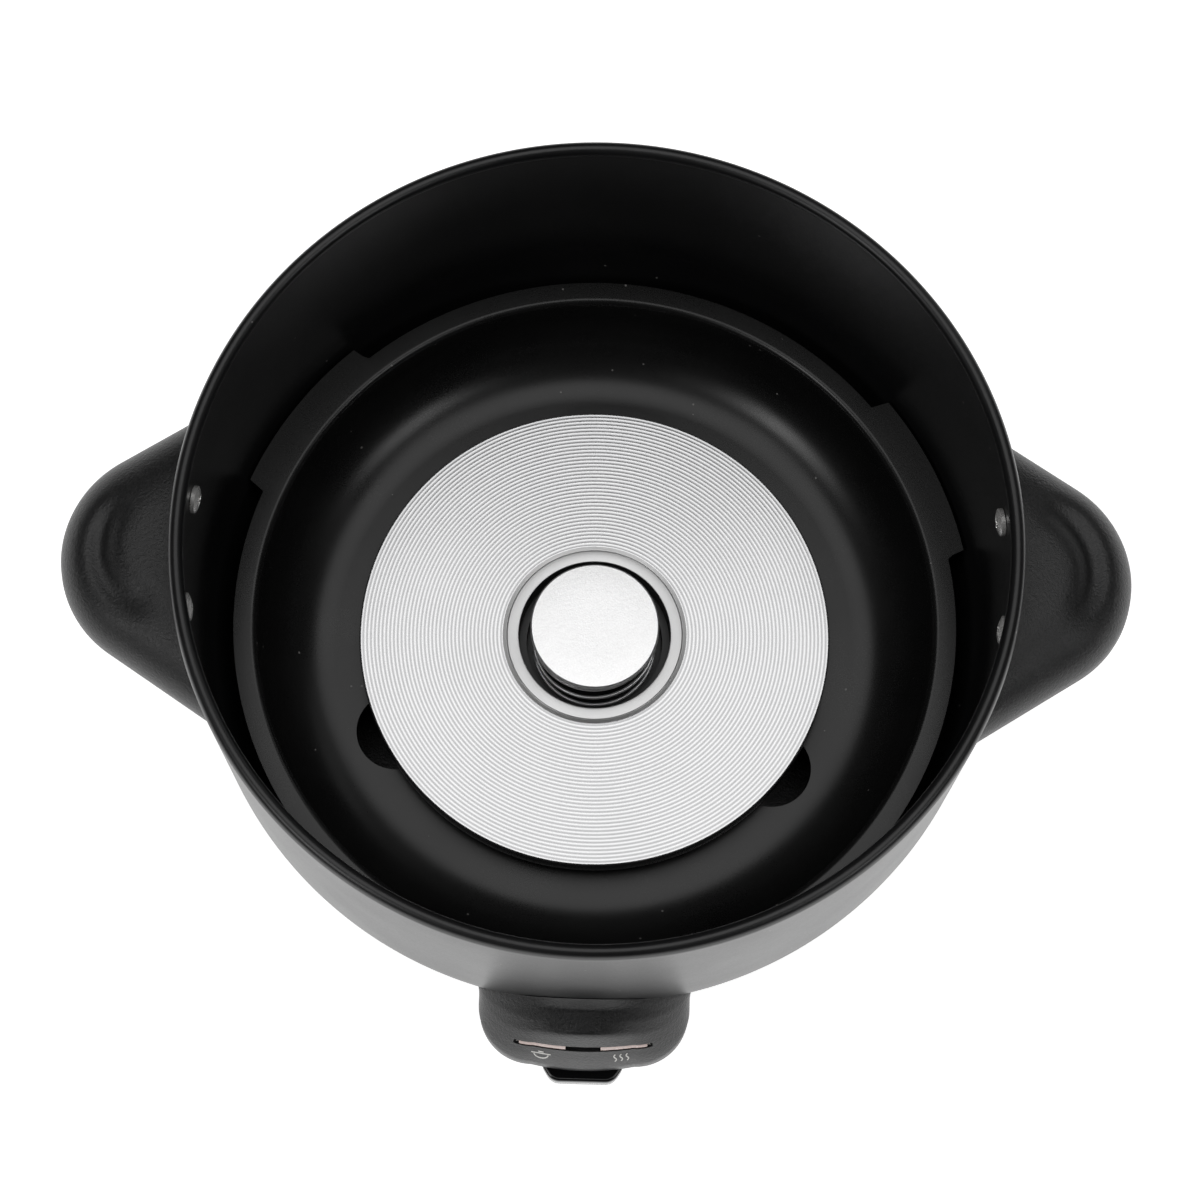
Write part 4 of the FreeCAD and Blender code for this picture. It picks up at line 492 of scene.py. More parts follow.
def add_piece(name, points, faces, slot, body="base", replaces=(), weld=True, smooth=True, sharp=None):
    """Make the mesh, weld its seams and poles, turn its faces outwards, and let it ride on its CAD body."""
    mesh = bpy.data.meshes.new(name)
    faces = faces.tolist() if hasattr(faces, "tolist") else faces
    mesh.from_pydata(points.reshape(-1, 3).tolist(), [], faces)
    work = bmesh.new()
    work.from_mesh(mesh)
    if weld:
        bmesh.ops.remove_doubles(work, verts=work.verts, dist=2e-7)
        bmesh.ops.dissolve_degenerate(work, edges=work.edges, dist=1e-8)
    bmesh.ops.recalc_face_normals(work, faces=work.faces)
    work.to_mesh(mesh)
    work.free()
    mesh.polygons.foreach_set("use_smooth", np.full(len(mesh.polygons), smooth))
    if sharp is not None:
        mesh.set_sharp_from_angle(angle=math.radians(sharp))
    mesh.materials.append(FINISHES[slot])
    thing = bpy.data.objects.new(name, mesh)
    scene.collection.objects.link(thing)
    if replaces:
        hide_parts(*replaces)
    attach(thing, body)
    print(f"{name}: {len(mesh.polygons)} faces")
    return thing


def turned(profile, steps):
    """Profile (radius, height) carried round the Z axis: x = r cos a, y = r sin a, one row per angle."""
    angles = np.linspace(0, 2 * np.pi, steps, endpoint=False)[:, None]
    r, z = profile[None, :, 0], profile[None, :, 1]
    return np.stack((r * np.cos(angles), r * np.sin(angles), np.broadcast_to(z, (steps, len(profile)))), -1)


def turned_piece(name, profile, slot, steps=192, **more):
    """A solid of revolution from a closed profile. Points on the axis weld into poles."""
    return add_piece(name, turned(profile, steps), grid_faces(steps, len(profile)), slot, **more)


# %% [markdown]
# ## The drum
#
# The drum is drawn from thin sheet, enamelled black, and its upper edge is rolled to the inside. It could be
# a cylinder with a bevel, but the rim's roll and the lower curve catch the light, so the whole section is
# worked out: straight wall, quarter curve, short skirt, and back up the inside.

# %% Drum
WALL = 0.8 * MM
ROLL_R = 2.2 * MM
TURN_Z = 90 * MM
TURN_R = 60 * MM
TURN_ANGLE = 55


def drum():
    """Profile: skirt, arc of TURN_R up to the straight wall, a rim rolled nearly closed, and the inside."""
    middle = DRUM - TURN_R
    roll_x, roll_z = DRUM - ROLL_R, RIM - ROLL_R
    outer_curve = arc(middle, TURN_Z, TURN_R, -TURN_ANGLE, 0, 28)
    skirt = outer_curve[0, 0]
    straight = np.stack((np.full(14, DRUM), np.linspace(TURN_Z, roll_z - 1.4 * MM, 15)[1:]), 1)
    # A small shoulder, where the sheet starts to roll, gives the fine line just outside the bead.
    shoulder = np.array([(DRUM, roll_z - 0.4 * MM), (DRUM - 0.12 * MM, roll_z + 0.15 * MM)])
    roll = arc(roll_x - 0.1 * MM, roll_z, ROLL_R - 0.15 * MM, 14, 305, 40)
    roll[:, 1] += 0.15 * MM
    inner_r = TURN_R - WALL
    inside_straight = np.stack((np.full(14, DRUM - WALL), np.linspace(roll_z - 2.6 * MM, TURN_Z, 14)), 1)
    inner_x = skirt - WALL
    inner_end = -math.degrees(math.acos((inner_x - middle) / inner_r))
    inner_curve = arc(middle, TURN_Z, inner_r, 0, inner_end, 28)[1:]
    edge = 0.2 * MM
    low = np.array([(inner_x, SKIRT_LOW + edge), (inner_x + edge, SKIRT_LOW), (skirt - edge, SKIRT_LOW),
                    (skirt, SKIRT_LOW + edge)])
    profile = np.concatenate((outer_curve, straight, shoulder, roll, inside_straight, inner_curve, low))
    turned_piece("drum", profile, "black_sheet", steps=320, replaces=["outer_shell"])


drum()

# %% [markdown]
# ## The liner
#
# The liner is a pan that shields the drum from the heater. Its lip is rolled, its flange carries three lugs,
# and its floor has three rounded lobes that the heater's ends pass through. Both are worked out by angle: the
# flange's outer radius and the floor's inner radius are functions of the angle, and the rest of the section
# is the same all round.

# %% Liner
LINER_R = 104 * MM
LINER_WALL = 0.8 * MM
LINER_CORNER = 22 * MM
LIP_ROLL = 2.0 * MM
FLANGE_R = 111.3 * MM
LUG_R = -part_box("inner_liner")[0].y
LUG_HALF = 13.7  # degrees
LUG_SLOPE = 0.5
LINER_TURN = -4.2
LOBE_HALF = 12.5 * MM
LOBE_END = 68.5 * MM
BACK_LOBE_END = 65.0 * MM
WELL_HOLE = 37 * MM


def away_from(angles, middles):
    """Smallest distance in degrees from each angle to any of the given directions."""
    gaps = [np.abs((angles - middle + 180) % 360 - 180) for middle in middles]
    return np.min(gaps, 0)


def floor_edge(angles):
    """Inner radius of the floor: the end circle of a lobe, then its straight side, then the middle hole."""
    gap = np.radians(away_from(angles, [LINER_TURN + 90, LINER_TURN + 210, LINER_TURN + 330]))
    end = np.where(away_from(angles, [LINER_TURN + 90]) < 60, BACK_LOBE_END, LOBE_END)
    sine = np.sin(gap)
    inside = np.clip(LOBE_HALF**2 - (end * sine) ** 2, 0, None)
    round_end = end * np.cos(gap) + np.sqrt(inside)
    side = LOBE_HALF / np.maximum(sine, 1e-6)
    radius = np.where(end * sine < LOBE_HALF, round_end, side)
    radius = np.where(gap > math.radians(60), WELL_HOLE, radius)
    return np.maximum(radius, WELL_HOLE)


def liner():
    """Section from the floor's inner edge out along the floor, up the wall, over the lip and back below."""
    steps = 720
    angles = np.linspace(0, 360, steps, endpoint=False)
    edge = floor_edge(angles)
    from_lug = away_from(angles, [LINER_TURN + 30, LINER_TURN + 150, LINER_TURN + 270])
    lug = np.clip((LUG_HALF + LUG_SLOPE / 2 - from_lug) / LUG_SLOPE, 0, 1)
    rim_r = FLANGE_R + (LUG_R - FLANGE_R) * lug
    top = LINER_LOW + LINER_WALL
    flat = LINER_R - LINER_CORNER
    corner_in = arc(flat, top + LINER_CORNER, LINER_CORNER, -90, 0, 20)
    lip_in = arc(LINER_R + LIP_ROLL, LIP - LIP_ROLL, LIP_ROLL, 180, 90, 10)
    lip_out = arc(LINER_R + LIP_ROLL, LIP - LIP_ROLL, LIP_ROLL - LINER_WALL, 90, 180, 10)
    corner_out = arc(flat, top + LINER_CORNER, LINER_CORNER + LINER_WALL, 0, -90, 20)
    fixed_a = np.concatenate((corner_in, lip_in))
    fixed_b = np.concatenate((lip_out, corner_out))
    columns = []
    for share in np.linspace(0, 1, 8)[:-1]:
        columns.append(np.stack((edge + (flat - edge) * share, np.full(steps, top)), 1))
    columns += [np.broadcast_to(point, (steps, 2)) for point in fixed_a]
    columns.append(np.stack((rim_r - 0.2 * MM, np.full(steps, LIP)), 1))
    columns.append(np.stack((rim_r, np.full(steps, LIP - 0.2 * MM)), 1))
    columns.append(np.stack((rim_r, np.full(steps, LIP - LINER_WALL)), 1))
    columns += [np.broadcast_to(point, (steps, 2)) for point in fixed_b]
    for share in np.linspace(1, 0, 8)[1:]:
        columns.append(np.stack((edge + (flat - edge) * share, np.full(steps, LINER_LOW)), 1))
    section = np.stack(columns, 1)
    a = np.radians(angles)[:, None]
    points = np.stack((section[..., 0] * np.cos(a), section[..., 0] * np.sin(a), section[..., 1]), -1)
    faces = grid_faces(steps, section.shape[1])
    add_piece("liner", points, faces, "liner_black", replaces=["inner_liner"], sharp=40)


liner()

# %% [markdown]
# ## The heating plate
#
# The plate is cast and then turned on a lathe, and the tool leaves a spiral of shallow round grooves. A bump
# map would only fake them, so the profile carries them: a row of scallops from the edge to the inner recess.

# %% Plate
GROOVE_DEPTH = 0.045 * MM
GROOVE_START = 29.2 * MM
COLLAR_R = 27.7 * MM

def plate():
    """Top radius by radius: scallops of GROOVE_DEPTH, a step down, and a collar that rises to the hole."""
    count = round((GROOVE_OUTER - GROOVE_START) / GROOVE_PITCH)
    share = np.linspace(0, 1, 6, endpoint=False)
    wave = -GROOVE_DEPTH * np.sin(np.pi * share) ** 2
    radii = GROOVE_OUTER - GROOVE_PITCH * (np.arange(count)[:, None] + share[None, :])
    scallops = np.stack((radii.ravel(), PLATE_TOP + np.tile(wave, count)), 1)
    inner = np.array([
        (GROOVE_START - 0.1 * MM, PLATE_TOP), (RECESS_R, PLATE_TOP - 0.02 * MM),
        (RECESS_R - 0.15 * MM, PLATE_TOP - 0.05 * MM), (COLLAR_R + 0.2 * MM, PLATE_TOP - 0.38 * MM),
        (COLLAR_R, PLATE_TOP - 0.42 * MM), (COLLAR_R - 0.2 * MM, PLATE_TOP - 0.34 * MM),
        (COLLAR_R - 0.4 * MM, PLATE_TOP - 0.43 * MM), (HOLE_R + 0.5 * MM, PLATE_TOP - 0.12 * MM),
        (HOLE_R + 0.15 * MM, PLATE_TOP - 0.22 * MM),
        (HOLE_R, PLATE_TOP - 1.0 * MM), (HOLE_R, PLATE_LOW),
    ])
    rest = np.array([
        (HOLE_R + 12 * MM, PLATE_LOW), (PLATE_R - 1.5 * MM, PLATE_LOW), (PLATE_R, PLATE_LOW + 1.5 * MM),
        (PLATE_R, PLATE_TOP - PLATE_EDGE), (PLATE_R - 0.2 * MM, PLATE_TOP - 0.25 * MM),
        (PLATE_R - 0.4 * MM, PLATE_TOP - 0.05 * MM),
    ])
    profile = np.concatenate((scallops, inner, rest))
    turned_piece("plate", profile, "turned_aluminium", steps=288, replaces=["heating_plate"], sharp=30)


plate()

# %% [markdown]
# ## The sensor's cap and spring
#
# A thin aluminium cap rests on a coil spring in the plate's hole, so that the pot presses it down. The spring
# is a helix whose first and last turns lie flat.

# %% Cap
CAP_SHEET = 1.0 * MM


def cap():
    """Profile of a cup turned upside down, with a rounded shoulder and a rolled lower edge."""
    low = CAP_LOW
    inner = CAP_R - CAP_SHEET
    outline = rounded([
        (0, CAP_TOP - CAP_SHEET, 0),
        (inner, CAP_TOP - CAP_SHEET, 0.4 * MM),
        (inner, low, 0.3 * MM),
        (CAP_R, low, 0.3 * MM),
        (CAP_R, CAP_TOP - 0.4 * MM, 0.15 * MM),
        (CAP_R - 0.4 * MM, CAP_TOP, 0.2 * MM),
        (CAP_R * 0.5, CAP_TOP, 0),
        (0, CAP_TOP, 0),
    ], 5)
    turned_piece("cap", outline, "cap_aluminium", steps=160, body="sensor", replaces=["sensor_cap"], sharp=50)


cap()

# %% Spring
WIRE_R = 0.55 * MM
SPRING_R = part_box("cap_spring")[1].x - WIRE_R
SPRING_TURNS = 3.0
SENSOR_TRAVEL = 8 * MM


def swept_tube(name, line, radius, slot, sides=14, **more):
    """Round wire along a line of points: a ring of points across each tangent, closed at both ends."""
    tangent = np.gradient(line, axis=0)
    tangent /= np.linalg.norm(tangent, axis=1)[:, None]
    across = np.cross(tangent, (0, 0, 1.0))
    across /= np.linalg.norm(across, axis=1)[:, None]
    up = np.cross(across, tangent)
    turn = np.linspace(0, 2 * np.pi, sides, endpoint=False)
    ring = across[:, None] * np.cos(turn)[None, :, None] + up[:, None] * np.sin(turn)[None, :, None]
    points = line[:, None] + ring * radius
    ends = np.stack((np.repeat(line[:1], sides, 0), np.repeat(line[-1:], sides, 0)))
    points = np.concatenate((ends[:1], points, ends[1:]))
    return add_piece(name, points, grid_faces(len(points), sides, wrap_rows=False), slot, **more)


def spring(name, node, joint, travel, radius, wire, turns, anchor_low, **more):
    """Closed end turns: the height hardly rises in the first and last part of a turn, and evenly between."""
    low, high = (corner.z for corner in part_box(node))
    t = np.linspace(0, 1, round(110 * turns))
    angle = 2 * np.pi * turns * t + 2.4
    flat = 0.45 / turns
    even = np.clip((t - flat) / (1 - 2 * flat), 0, 1)
    rise = 0.06 * t + 0.94 * even
    height = low + wire + (high - low - 2 * wire) * rise
    line = np.stack((radius * np.cos(angle), radius * np.sin(angle), height), 1)
    thing = swept_tube(name, line, wire, "spring_steel", replaces=[node], **more)
    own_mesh(thing)


spring("cap_coil", "cap_spring", "sensor_press", SENSOR_TRAVEL, SPRING_R, WIRE_R, SPRING_TURNS, True)
MAGNET_WIRE_R = 0.45 * MM
MAGNET_COIL_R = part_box("magnet_spring")[1].x - MAGNET_WIRE_R
spring("magnet_coil", "magnet_spring", "sensor_press", SENSOR_TRAVEL, MAGNET_COIL_R, MAGNET_WIRE_R, 5, True,
       body="lifter")

# %% [markdown]
# ## Screws
#
# Pan-head screws hold the handles, and they show inside the drum. Each head is a shallow dome with a cross
# recess. Heights on a polar grid give both: the dome falls with the radius, and the recess is the larger
# of two crossed slots, so it is one closed surface with crisp arms.

# %% Screw heads
HEAD_R = 4.1 * MM
HEAD_TALL = 2.2 * MM
SHANK_R = 1.75 * MM
SLOT_HALF = 0.42 * MM
SLOT_REACH = 1.9 * MM
SLOT_DEEP = 1.3 * MM


def screw_points(turn, shank):
    """Head's top is HEAD_TALL (1 - 0.42 (r/R)^2.4) less the cross; then rim, seat, shank and tip."""
    rings, steps = 30, 96
    angle = np.linspace(0, 2 * np.pi, steps, endpoint=False)[:, None]
    radius = np.linspace(0, 1, rings)[None, :] ** 0.9 * (HEAD_R - 0.1 * MM)
    x, y = radius * np.cos(angle + turn), radius * np.sin(angle + turn)
    dome = HEAD_TALL * (1 - 0.42 * (radius / HEAD_R) ** 2.4) + 0 * angle

    def arm(along, across):
        half = SLOT_HALF * (1 - 0.25 * np.abs(along) / SLOT_REACH)
        side = np.clip((half - np.abs(across)) / (0.16 * MM) + 0.5, 0, 1)
        end = np.clip((SLOT_REACH - np.abs(along)) / (0.5 * MM), 0, 1)
        return side * end

    cross = np.maximum(arm(x, y), arm(y, x))
    top = dome - SLOT_DEEP * cross * (1 - 0.35 * radius / SLOT_REACH)
    head = np.stack((radius * np.cos(angle), radius * np.sin(angle), top), -1)
    rim_line = np.array([
        (HEAD_R, HEAD_TALL * 0.54), (HEAD_R, 0.12 * MM), (HEAD_R - 0.12 * MM, 0), (SHANK_R, 0),
        (SHANK_R, -(shank - 2 * MM)), (SHANK_R * 0.4, -shank), (0, -shank),
    ])
    ring = np.stack((rim_line[:, 0] * np.cos(angle), rim_line[:, 0] * np.sin(angle),
                     np.broadcast_to(rim_line[:, 1], (steps, len(rim_line)))), -1)
    return np.concatenate((head, ring), 1)


def screws(name, node, places, shank=12 * MM, slot="screw_steel"):
    """One piece of several screws. A place is a seat point, the way the head faces, and the cross's turn."""
    points, faces, start = [], [], 0
    for seat, facing, turn in places:
        local = screw_points(turn, shank)
        axis = Vector(facing).normalized()
        basis = np.array(axis.to_track_quat("Z", "Y").to_matrix())
        grid = local.reshape(-1, 3) @ basis.T + np.array(seat)
        points.append(grid)
        faces.append(grid_faces(local.shape[0], local.shape[1], wrap_columns=False) + start)
        start += len(grid)
    return add_piece(name, np.concatenate(points), np.concatenate(faces), slot, replaces=[node], sharp=35)


SCREW_SINK = 0.1 * MM  # heads sit this far into the wall
HANDLE_SPREAD = math.radians(7.9)
HANDLE_SCREW_Z = 134.3 * MM
BOX_SPREAD = 11  # degrees
BOX_SCREW_Z = 85 * MM
BOX_SHANK = 2.3 * MM


def screw_places(angles, reach, level, first_turn, turn_step):
    """Seats at the same reach and level on the inside of the drum, facing its axis, each turned further."""
    out = []
    for k, angle in enumerate(angles):
        way = (math.cos(angle), math.sin(angle), 0)
        turn = first_turn + turn_step * k
        out.append(((way[0] * reach, way[1] * reach, level), (-way[0], -way[1], 0), turn))
    return out


handle_angles = (HANDLE_SPREAD, -HANDLE_SPREAD, math.pi + HANDLE_SPREAD, math.pi - HANDLE_SPREAD)
handle_places = screw_places(handle_angles, DRUM - WALL - SCREW_SINK, HANDLE_SCREW_Z, 0.5, 0.9)
screws("handle_screw_heads", "handle_screws", handle_places)
box_angles = (math.radians(270 - BOX_SPREAD), math.radians(270 + BOX_SPREAD))
curve_reach = DRUM - TURN_R + math.sqrt((TURN_R - WALL) ** 2 - (TURN_Z - BOX_SCREW_Z) ** 2)
box_places = screw_places(box_angles, curve_reach - SCREW_SINK, BOX_SCREW_Z, 0.3, 0.7)
screws("box_screw_heads", "box_screws", box_places, shank=BOX_SHANK)

# %% [markdown]
# ## The handles
#
# Each handle is a moulded flap with a round nose. From above it is a dome: a dark band rises from the edge to
# a crescent ridge, and inside the ridge lies a shallow scoop for the thumb. The distance from the edge drives
# the height, so the ridge follows the nose and fades along the flanks. Below, it is hollow for the fingers.

# %% Handles
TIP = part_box("handle_right")[1].x
HANDLE_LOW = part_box("handle_right")[0].z
HANDLE_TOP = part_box("handle_right")[1].z
NOSE_R = 34 * MM
FLANK = math.radians(57)
HANDLE_WALL = 3 * MM
EDGE_Z = HANDLE_LOW + 2.2 * MM


def edge_distance(x, y):
    """Distance from a plan point to the handle's edge: to the nose's arc, or to the straight flanks."""
    centre = TIP - NOSE_R
    from_nose = NOSE_R - np.hypot(x - centre, y)
    from_flank = NOSE_R - ((x - centre) * math.cos(FLANK) + np.abs(y) * math.sin(FLANK))
    beyond = np.arctan2(np.abs(y), x - centre) > FLANK
    return np.where(beyond, from_flank, from_nose)


def handle_height(x, y):
    """Top: a dome over the distance d from the edge, less a scoop exp(-((d-13.4)/3.9)^2) on the nose."""
    d = np.clip(edge_distance(x, y), 0, None)
    dome = (1 - (1 - np.clip(d / (25 * MM), 0, 1)) ** 2.5) ** 0.5
    height = EDGE_Z + (HANDLE_TOP - 0.8 * MM - EDGE_Z) * dome
    turn = np.degrees(np.arctan2(y, x - (TIP - NOSE_R) + 8 * MM))
    fade = np.exp(-(((turn - 12) / 37) ** 4))
    scoop = 2.9 * MM * np.exp(-(((d - 13.4 * MM) / (3.9 * MM)) ** 2)) * fade
    return height - scoop


def outline_reach(angle, inset):
    """Distance from the pole to the inset outline along each ray: the nose's circle or the flank's line."""
    centre = TIP - NOSE_R - POLE
    radius = NOSE_R - inset
    c, s = np.cos(angle), np.abs(np.sin(angle))
    circle = centre * c + np.sqrt(np.clip(radius**2 - (centre * s) ** 2, 0, None))
    line = (radius + centre * math.cos(FLANK)) / (c * math.cos(FLANK) + s * math.sin(FLANK))
    hit_x, hit_y = circle * c - centre, circle * s
    return np.where(np.arctan2(hit_y, hit_x) > FLANK, line, circle)


POLE = 96 * MM


def handle(name, node, side):
    """Rays from a pole inside the drum; along each, the section runs over the top, down, and back below."""
    seat = DRUM + 0.1 * MM
    corner_angle = 1.13
    for _ in range(30):
        reach = outline_reach(np.array([corner_angle]), 0)[0]
        far = math.hypot(POLE + reach * math.cos(corner_angle), reach * math.sin(corner_angle))
        corner_angle *= 1 - 0.5 * (seat - far) / seat
    rays = np.linspace(-1, 1, 181)
    angle = corner_angle * np.sin(rays * np.pi / 2) * 0.9995
    drum = -POLE * np.cos(angle) + np.sqrt(seat**2 - (POLE * np.sin(angle)) ** 2)
    outer = np.maximum(outline_reach(angle, 0), drum + 0.02 * MM)
    inner = np.maximum(outline_reach(angle, HANDLE_WALL), drum + 0.01 * MM)
    columns = []

    def put(reach, height=None, drop=0.0):
        x = POLE + reach * np.cos(angle)
        y = reach * np.sin(angle)
        z = handle_height(x, y) - drop if height is None else np.full(len(angle), height)
        columns.append(np.stack((side * x, side * y, z), -1))

    for share in np.linspace(0, 1, 64) ** 0.8:
        put(drum + (outer - drum) * share)
    put(outer, EDGE_Z - 1.0 * MM)
    put(outer - 0.1 * MM, HANDLE_LOW + 0.3 * MM)
    put(np.maximum(outer - 0.4 * MM, drum), HANDLE_LOW)
    put(np.maximum(inner + 0.2 * MM, drum), HANDLE_LOW)
    put(inner, HANDLE_LOW + 0.3 * MM)
    for share in np.linspace(1, 0, 24):
        reach = drum + (inner - drum) * share
        x, y = POLE + reach * np.cos(angle), reach * np.sin(angle)
        ceiling = np.maximum(handle_height(x, y) - HANDLE_WALL, HANDLE_LOW + 0.3 * MM)
        columns.append(np.stack((side * x, side * y, ceiling), -1))
    points = np.stack(columns, 1)
    add_piece(name, points, grid_faces(len(angle), points.shape[1], wrap_rows=False), "black_plastic",
              replaces=[node], sharp=60)


handle("handle_moulding_right", "handle_right", 1)
handle("handle_moulding_left", "handle_left", -1)

# %% [markdown]
# ## The control box
#
# The box hangs on the front of the drum. It could be an extrusion with bevels, but its top is a soft form:
# from the drum it dips into a scoop, then falls over a brow and a recessed strip to the front lip. So each
# ray from a pole inside the drum carries one section: the floor, the chin, the wall, then the top, whose
# height is a share G(t) of the rise from the lip to the drum. The same section, drawn in by the wall, makes
# the inside.

# %% Control box form
BOX_HALF = 31.5 * MM
BOX_FRONT = -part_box("control_box")[0].y
BOX_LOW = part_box("control_box")[0].z
BOX_CORNER = 16 * MM
BOX_BOW = 1.6 * MM
BOX_WALL = 2.2 * MM
BOX_POLE = 70 * MM
LIP_Z = 66 * MM
CROWN_Z = 96 * MM
ARCH = 17 * MM
CHIN_R = 7 * MM
COVER_R = 95.3 * MM
STRIP = (0.205, 0.262)
STRIP_HALF = 20.5 * MM
STRIP_DEEP = 1.0 * MM
SLOT_X = 16 * MM
SLOT_Z = (40.5 * MM, 60.2 * MM)
SHARE = np.linspace(0, 1, 501)


def softened(knots, values, width):
    """Straight runs between knots, averaged over a window so that they flow into each other."""
    line = np.interp(SHARE, knots, values)
    padded = np.concatenate((2 * line[0] - line[width:0:-1], line, 2 * line[-1] - line[-2:-width - 2:-1]))
    return np.convolve(padded, np.hanning(2 * width + 1) / np.hanning(2 * width + 1).sum(), "valid")


RISE_MIDDLE = softened([0, 0.07, 0.205, 0.26, 0.40, 0.85, 1], [0, 0.17, 0.40, 0.50, 0.76, 0.85, 1], 40)
RISE_SIDE = softened(
    [0, 0.07, 0.205, 0.26, 0.43, 0.64, 0.88, 1], [0, 0.17, 0.38, 0.46, 0.66, 0.84, 0.965, 1], 40
)


def seat_radius(z):
    """Outside of the drum at a height: straight wall, lower curve, then the cover."""
    fall = np.clip(TURN_Z - z, 0, TURN_R * 0.99)
    return np.maximum(DRUM - TURN_R + np.sqrt(TURN_R**2 - fall**2), COVER_R) + 0.2 * MM


def box_outline(angle, inset):
    """Reach of a ray from the pole to the plan outline: bowed front, round corner, straight side."""
    half, front, turn = BOX_HALF - inset, BOX_FRONT - inset, BOX_CORNER - inset
    flat = half - turn
    across = np.linspace(0, flat, 24)
    bend = np.linspace(math.pi / 2, 0, 32)[1:]
    x = np.concatenate((across, flat + turn * np.cos(bend), [half]))
    bowed = front - BOX_BOW * (across / flat) ** 2
    y = np.concatenate((bowed, front - BOX_BOW - turn + turn * np.sin(bend), [80 * MM]))
    swing, reach = np.arctan2(x, y - BOX_POLE), np.hypot(x, y - BOX_POLE)
    return np.where(np.abs(angle) > swing[-2], half / np.maximum(np.abs(np.sin(angle)), 1e-6),
                    np.interp(np.abs(angle), swing, reach))


def seat_reach(angle, radius):
    """Reach of a ray from the pole to a circle about the drum's axis."""
    return -BOX_POLE * np.cos(angle) + np.sqrt(radius**2 - (BOX_POLE * np.sin(angle)) ** 2)


def box_height(x, share):
    """Top's height: the lip's level plus G of the rise to the arched line on the drum."""
    lip = LIP_Z + 5 * MM * (x / BOX_HALF) ** 2
    crown = CROWN_Z - ARCH * (x / BOX_HALF) ** 2
    middle = np.exp(-((x / (14 * MM)) ** 2))
    rise = middle * np.interp(share, SHARE, RISE_MIDDLE) + (1 - middle) * np.interp(share, SHARE, RISE_SIDE)
    return lip + (crown - lip) * rise


SLOT_COLUMNS = 39  # from the middle to the slot's end


def box_columns():
    """Fixed ray angles over the front, and shares of the rest of the way round to the seat."""
    edge = math.atan2(SLOT_X, BOX_FRONT - BOX_BOW - BOX_POLE)
    over_slot = np.linspace(0, edge, SLOT_COLUMNS + 1)[:-1]
    fixed = np.concatenate((over_slot, np.linspace(edge, math.radians(29), 46)))
    return fixed, np.linspace(0, 1, 31)[1:]


def box_row(share=None, z=None, inset=0.0, reach_cut=0.0):
    """One row of the surface: a wall row at a height z, or a top row at a share of the way to the drum."""
    fixed, spread = box_columns()
    half = BOX_HALF - inset
    end_z = z if share is None else box_height(np.array([half]), share)[0] - inset
    radius = float(seat_radius(np.array([end_z]))[0])
    end = math.atan2(half, math.sqrt(radius**2 - half**2) - BOX_POLE)
    side = fixed[-1] + (end - fixed[-1]) * spread
    angle = np.concatenate((-side[::-1], -fixed[:0:-1], fixed, side))
    out = box_outline(angle, inset) - reach_cut
    if share is None:
        reach = np.maximum(out, seat_reach(angle, radius))
        level = np.full(len(angle), z)
    else:
        drum = seat_reach(angle, seat_radius(box_height(np.clip(out * np.sin(angle), -half, half), 1.0)))
        reach = out + (np.minimum(drum, out) - out) * share
        level = box_height(reach * np.sin(angle), share) - inset
    return np.stack((reach * np.sin(angle), -(BOX_POLE + reach * np.cos(angle)), level), -1)


def box_floor_row(radius, z, inset):
    """A row on the floor, at the seat."""
    row = box_row(z=z, inset=inset)
    angle = np.arctan2(row[:, 0], -row[:, 1] - BOX_POLE)
    reach = seat_reach(angle, radius)
    return np.stack((reach * np.sin(angle), -(BOX_POLE + reach * np.cos(angle)), row[:, 2]), -1)


BOX_DRAFT = 0.17
CHIN_ROWS, LOW_ROWS, SLOT_ROWS = 7, 11, 7  # rows of the chin, below the slot, and beside it


def box_draft(z):
    """How far the wall draws in below the slot's upper edge, so that the mould releases it."""
    return BOX_DRAFT * max(SLOT_Z[1] - z, 0)


def box_surface(inset):
    """Rows from the floor at the seat, over the chin, up the wall to the lip, over the top to the drum."""
    low = BOX_LOW + inset
    rows = [box_floor_row(COVER_R + 0.2 * MM, low, inset)]
    chin = CHIN_R - inset * 0.5
    for a in np.radians(np.linspace(0, 90, CHIN_ROWS)):
        level = low + chin * (1 - math.cos(a))
        rows.append(box_row(z=level, inset=inset, reach_cut=chin * (1 - math.sin(a)) + box_draft(level)))
    below_slot = np.linspace(low + chin, SLOT_Z[0], LOW_ROWS + 1)[1:]
    beside_slot = np.linspace(*SLOT_Z, SLOT_ROWS + 1)[1:]
    heights = np.concatenate((below_slot, beside_slot, [63 * MM]))
    rows += [box_row(z=z, inset=inset, reach_cut=box_draft(z)) for z in heights]
    shares = np.concatenate((np.linspace(0, STRIP[0], 12), [STRIP[0] + 0.002, STRIP[1] - 0.002],
                             np.linspace(STRIP[1], 1, 56)))
    for share in shares:
        row = box_row(share=share, inset=inset)
        if inset == 0 and STRIP[0] < share < STRIP[1]:
            inside = np.clip((STRIP_HALF - np.abs(row[:, 0])) / (0.5 * MM), 0, 1)[:, None]
            outward = row * (1, 1, 0) + np.array((0, BOX_POLE, 0))
            outward /= np.linalg.norm(outward, axis=1)[:, None]
            row = row - outward * STRIP_DEEP * inside - np.array((0, 0, 0.5 * MM)) * inside
        rows.append(row)
    return np.stack(rows)


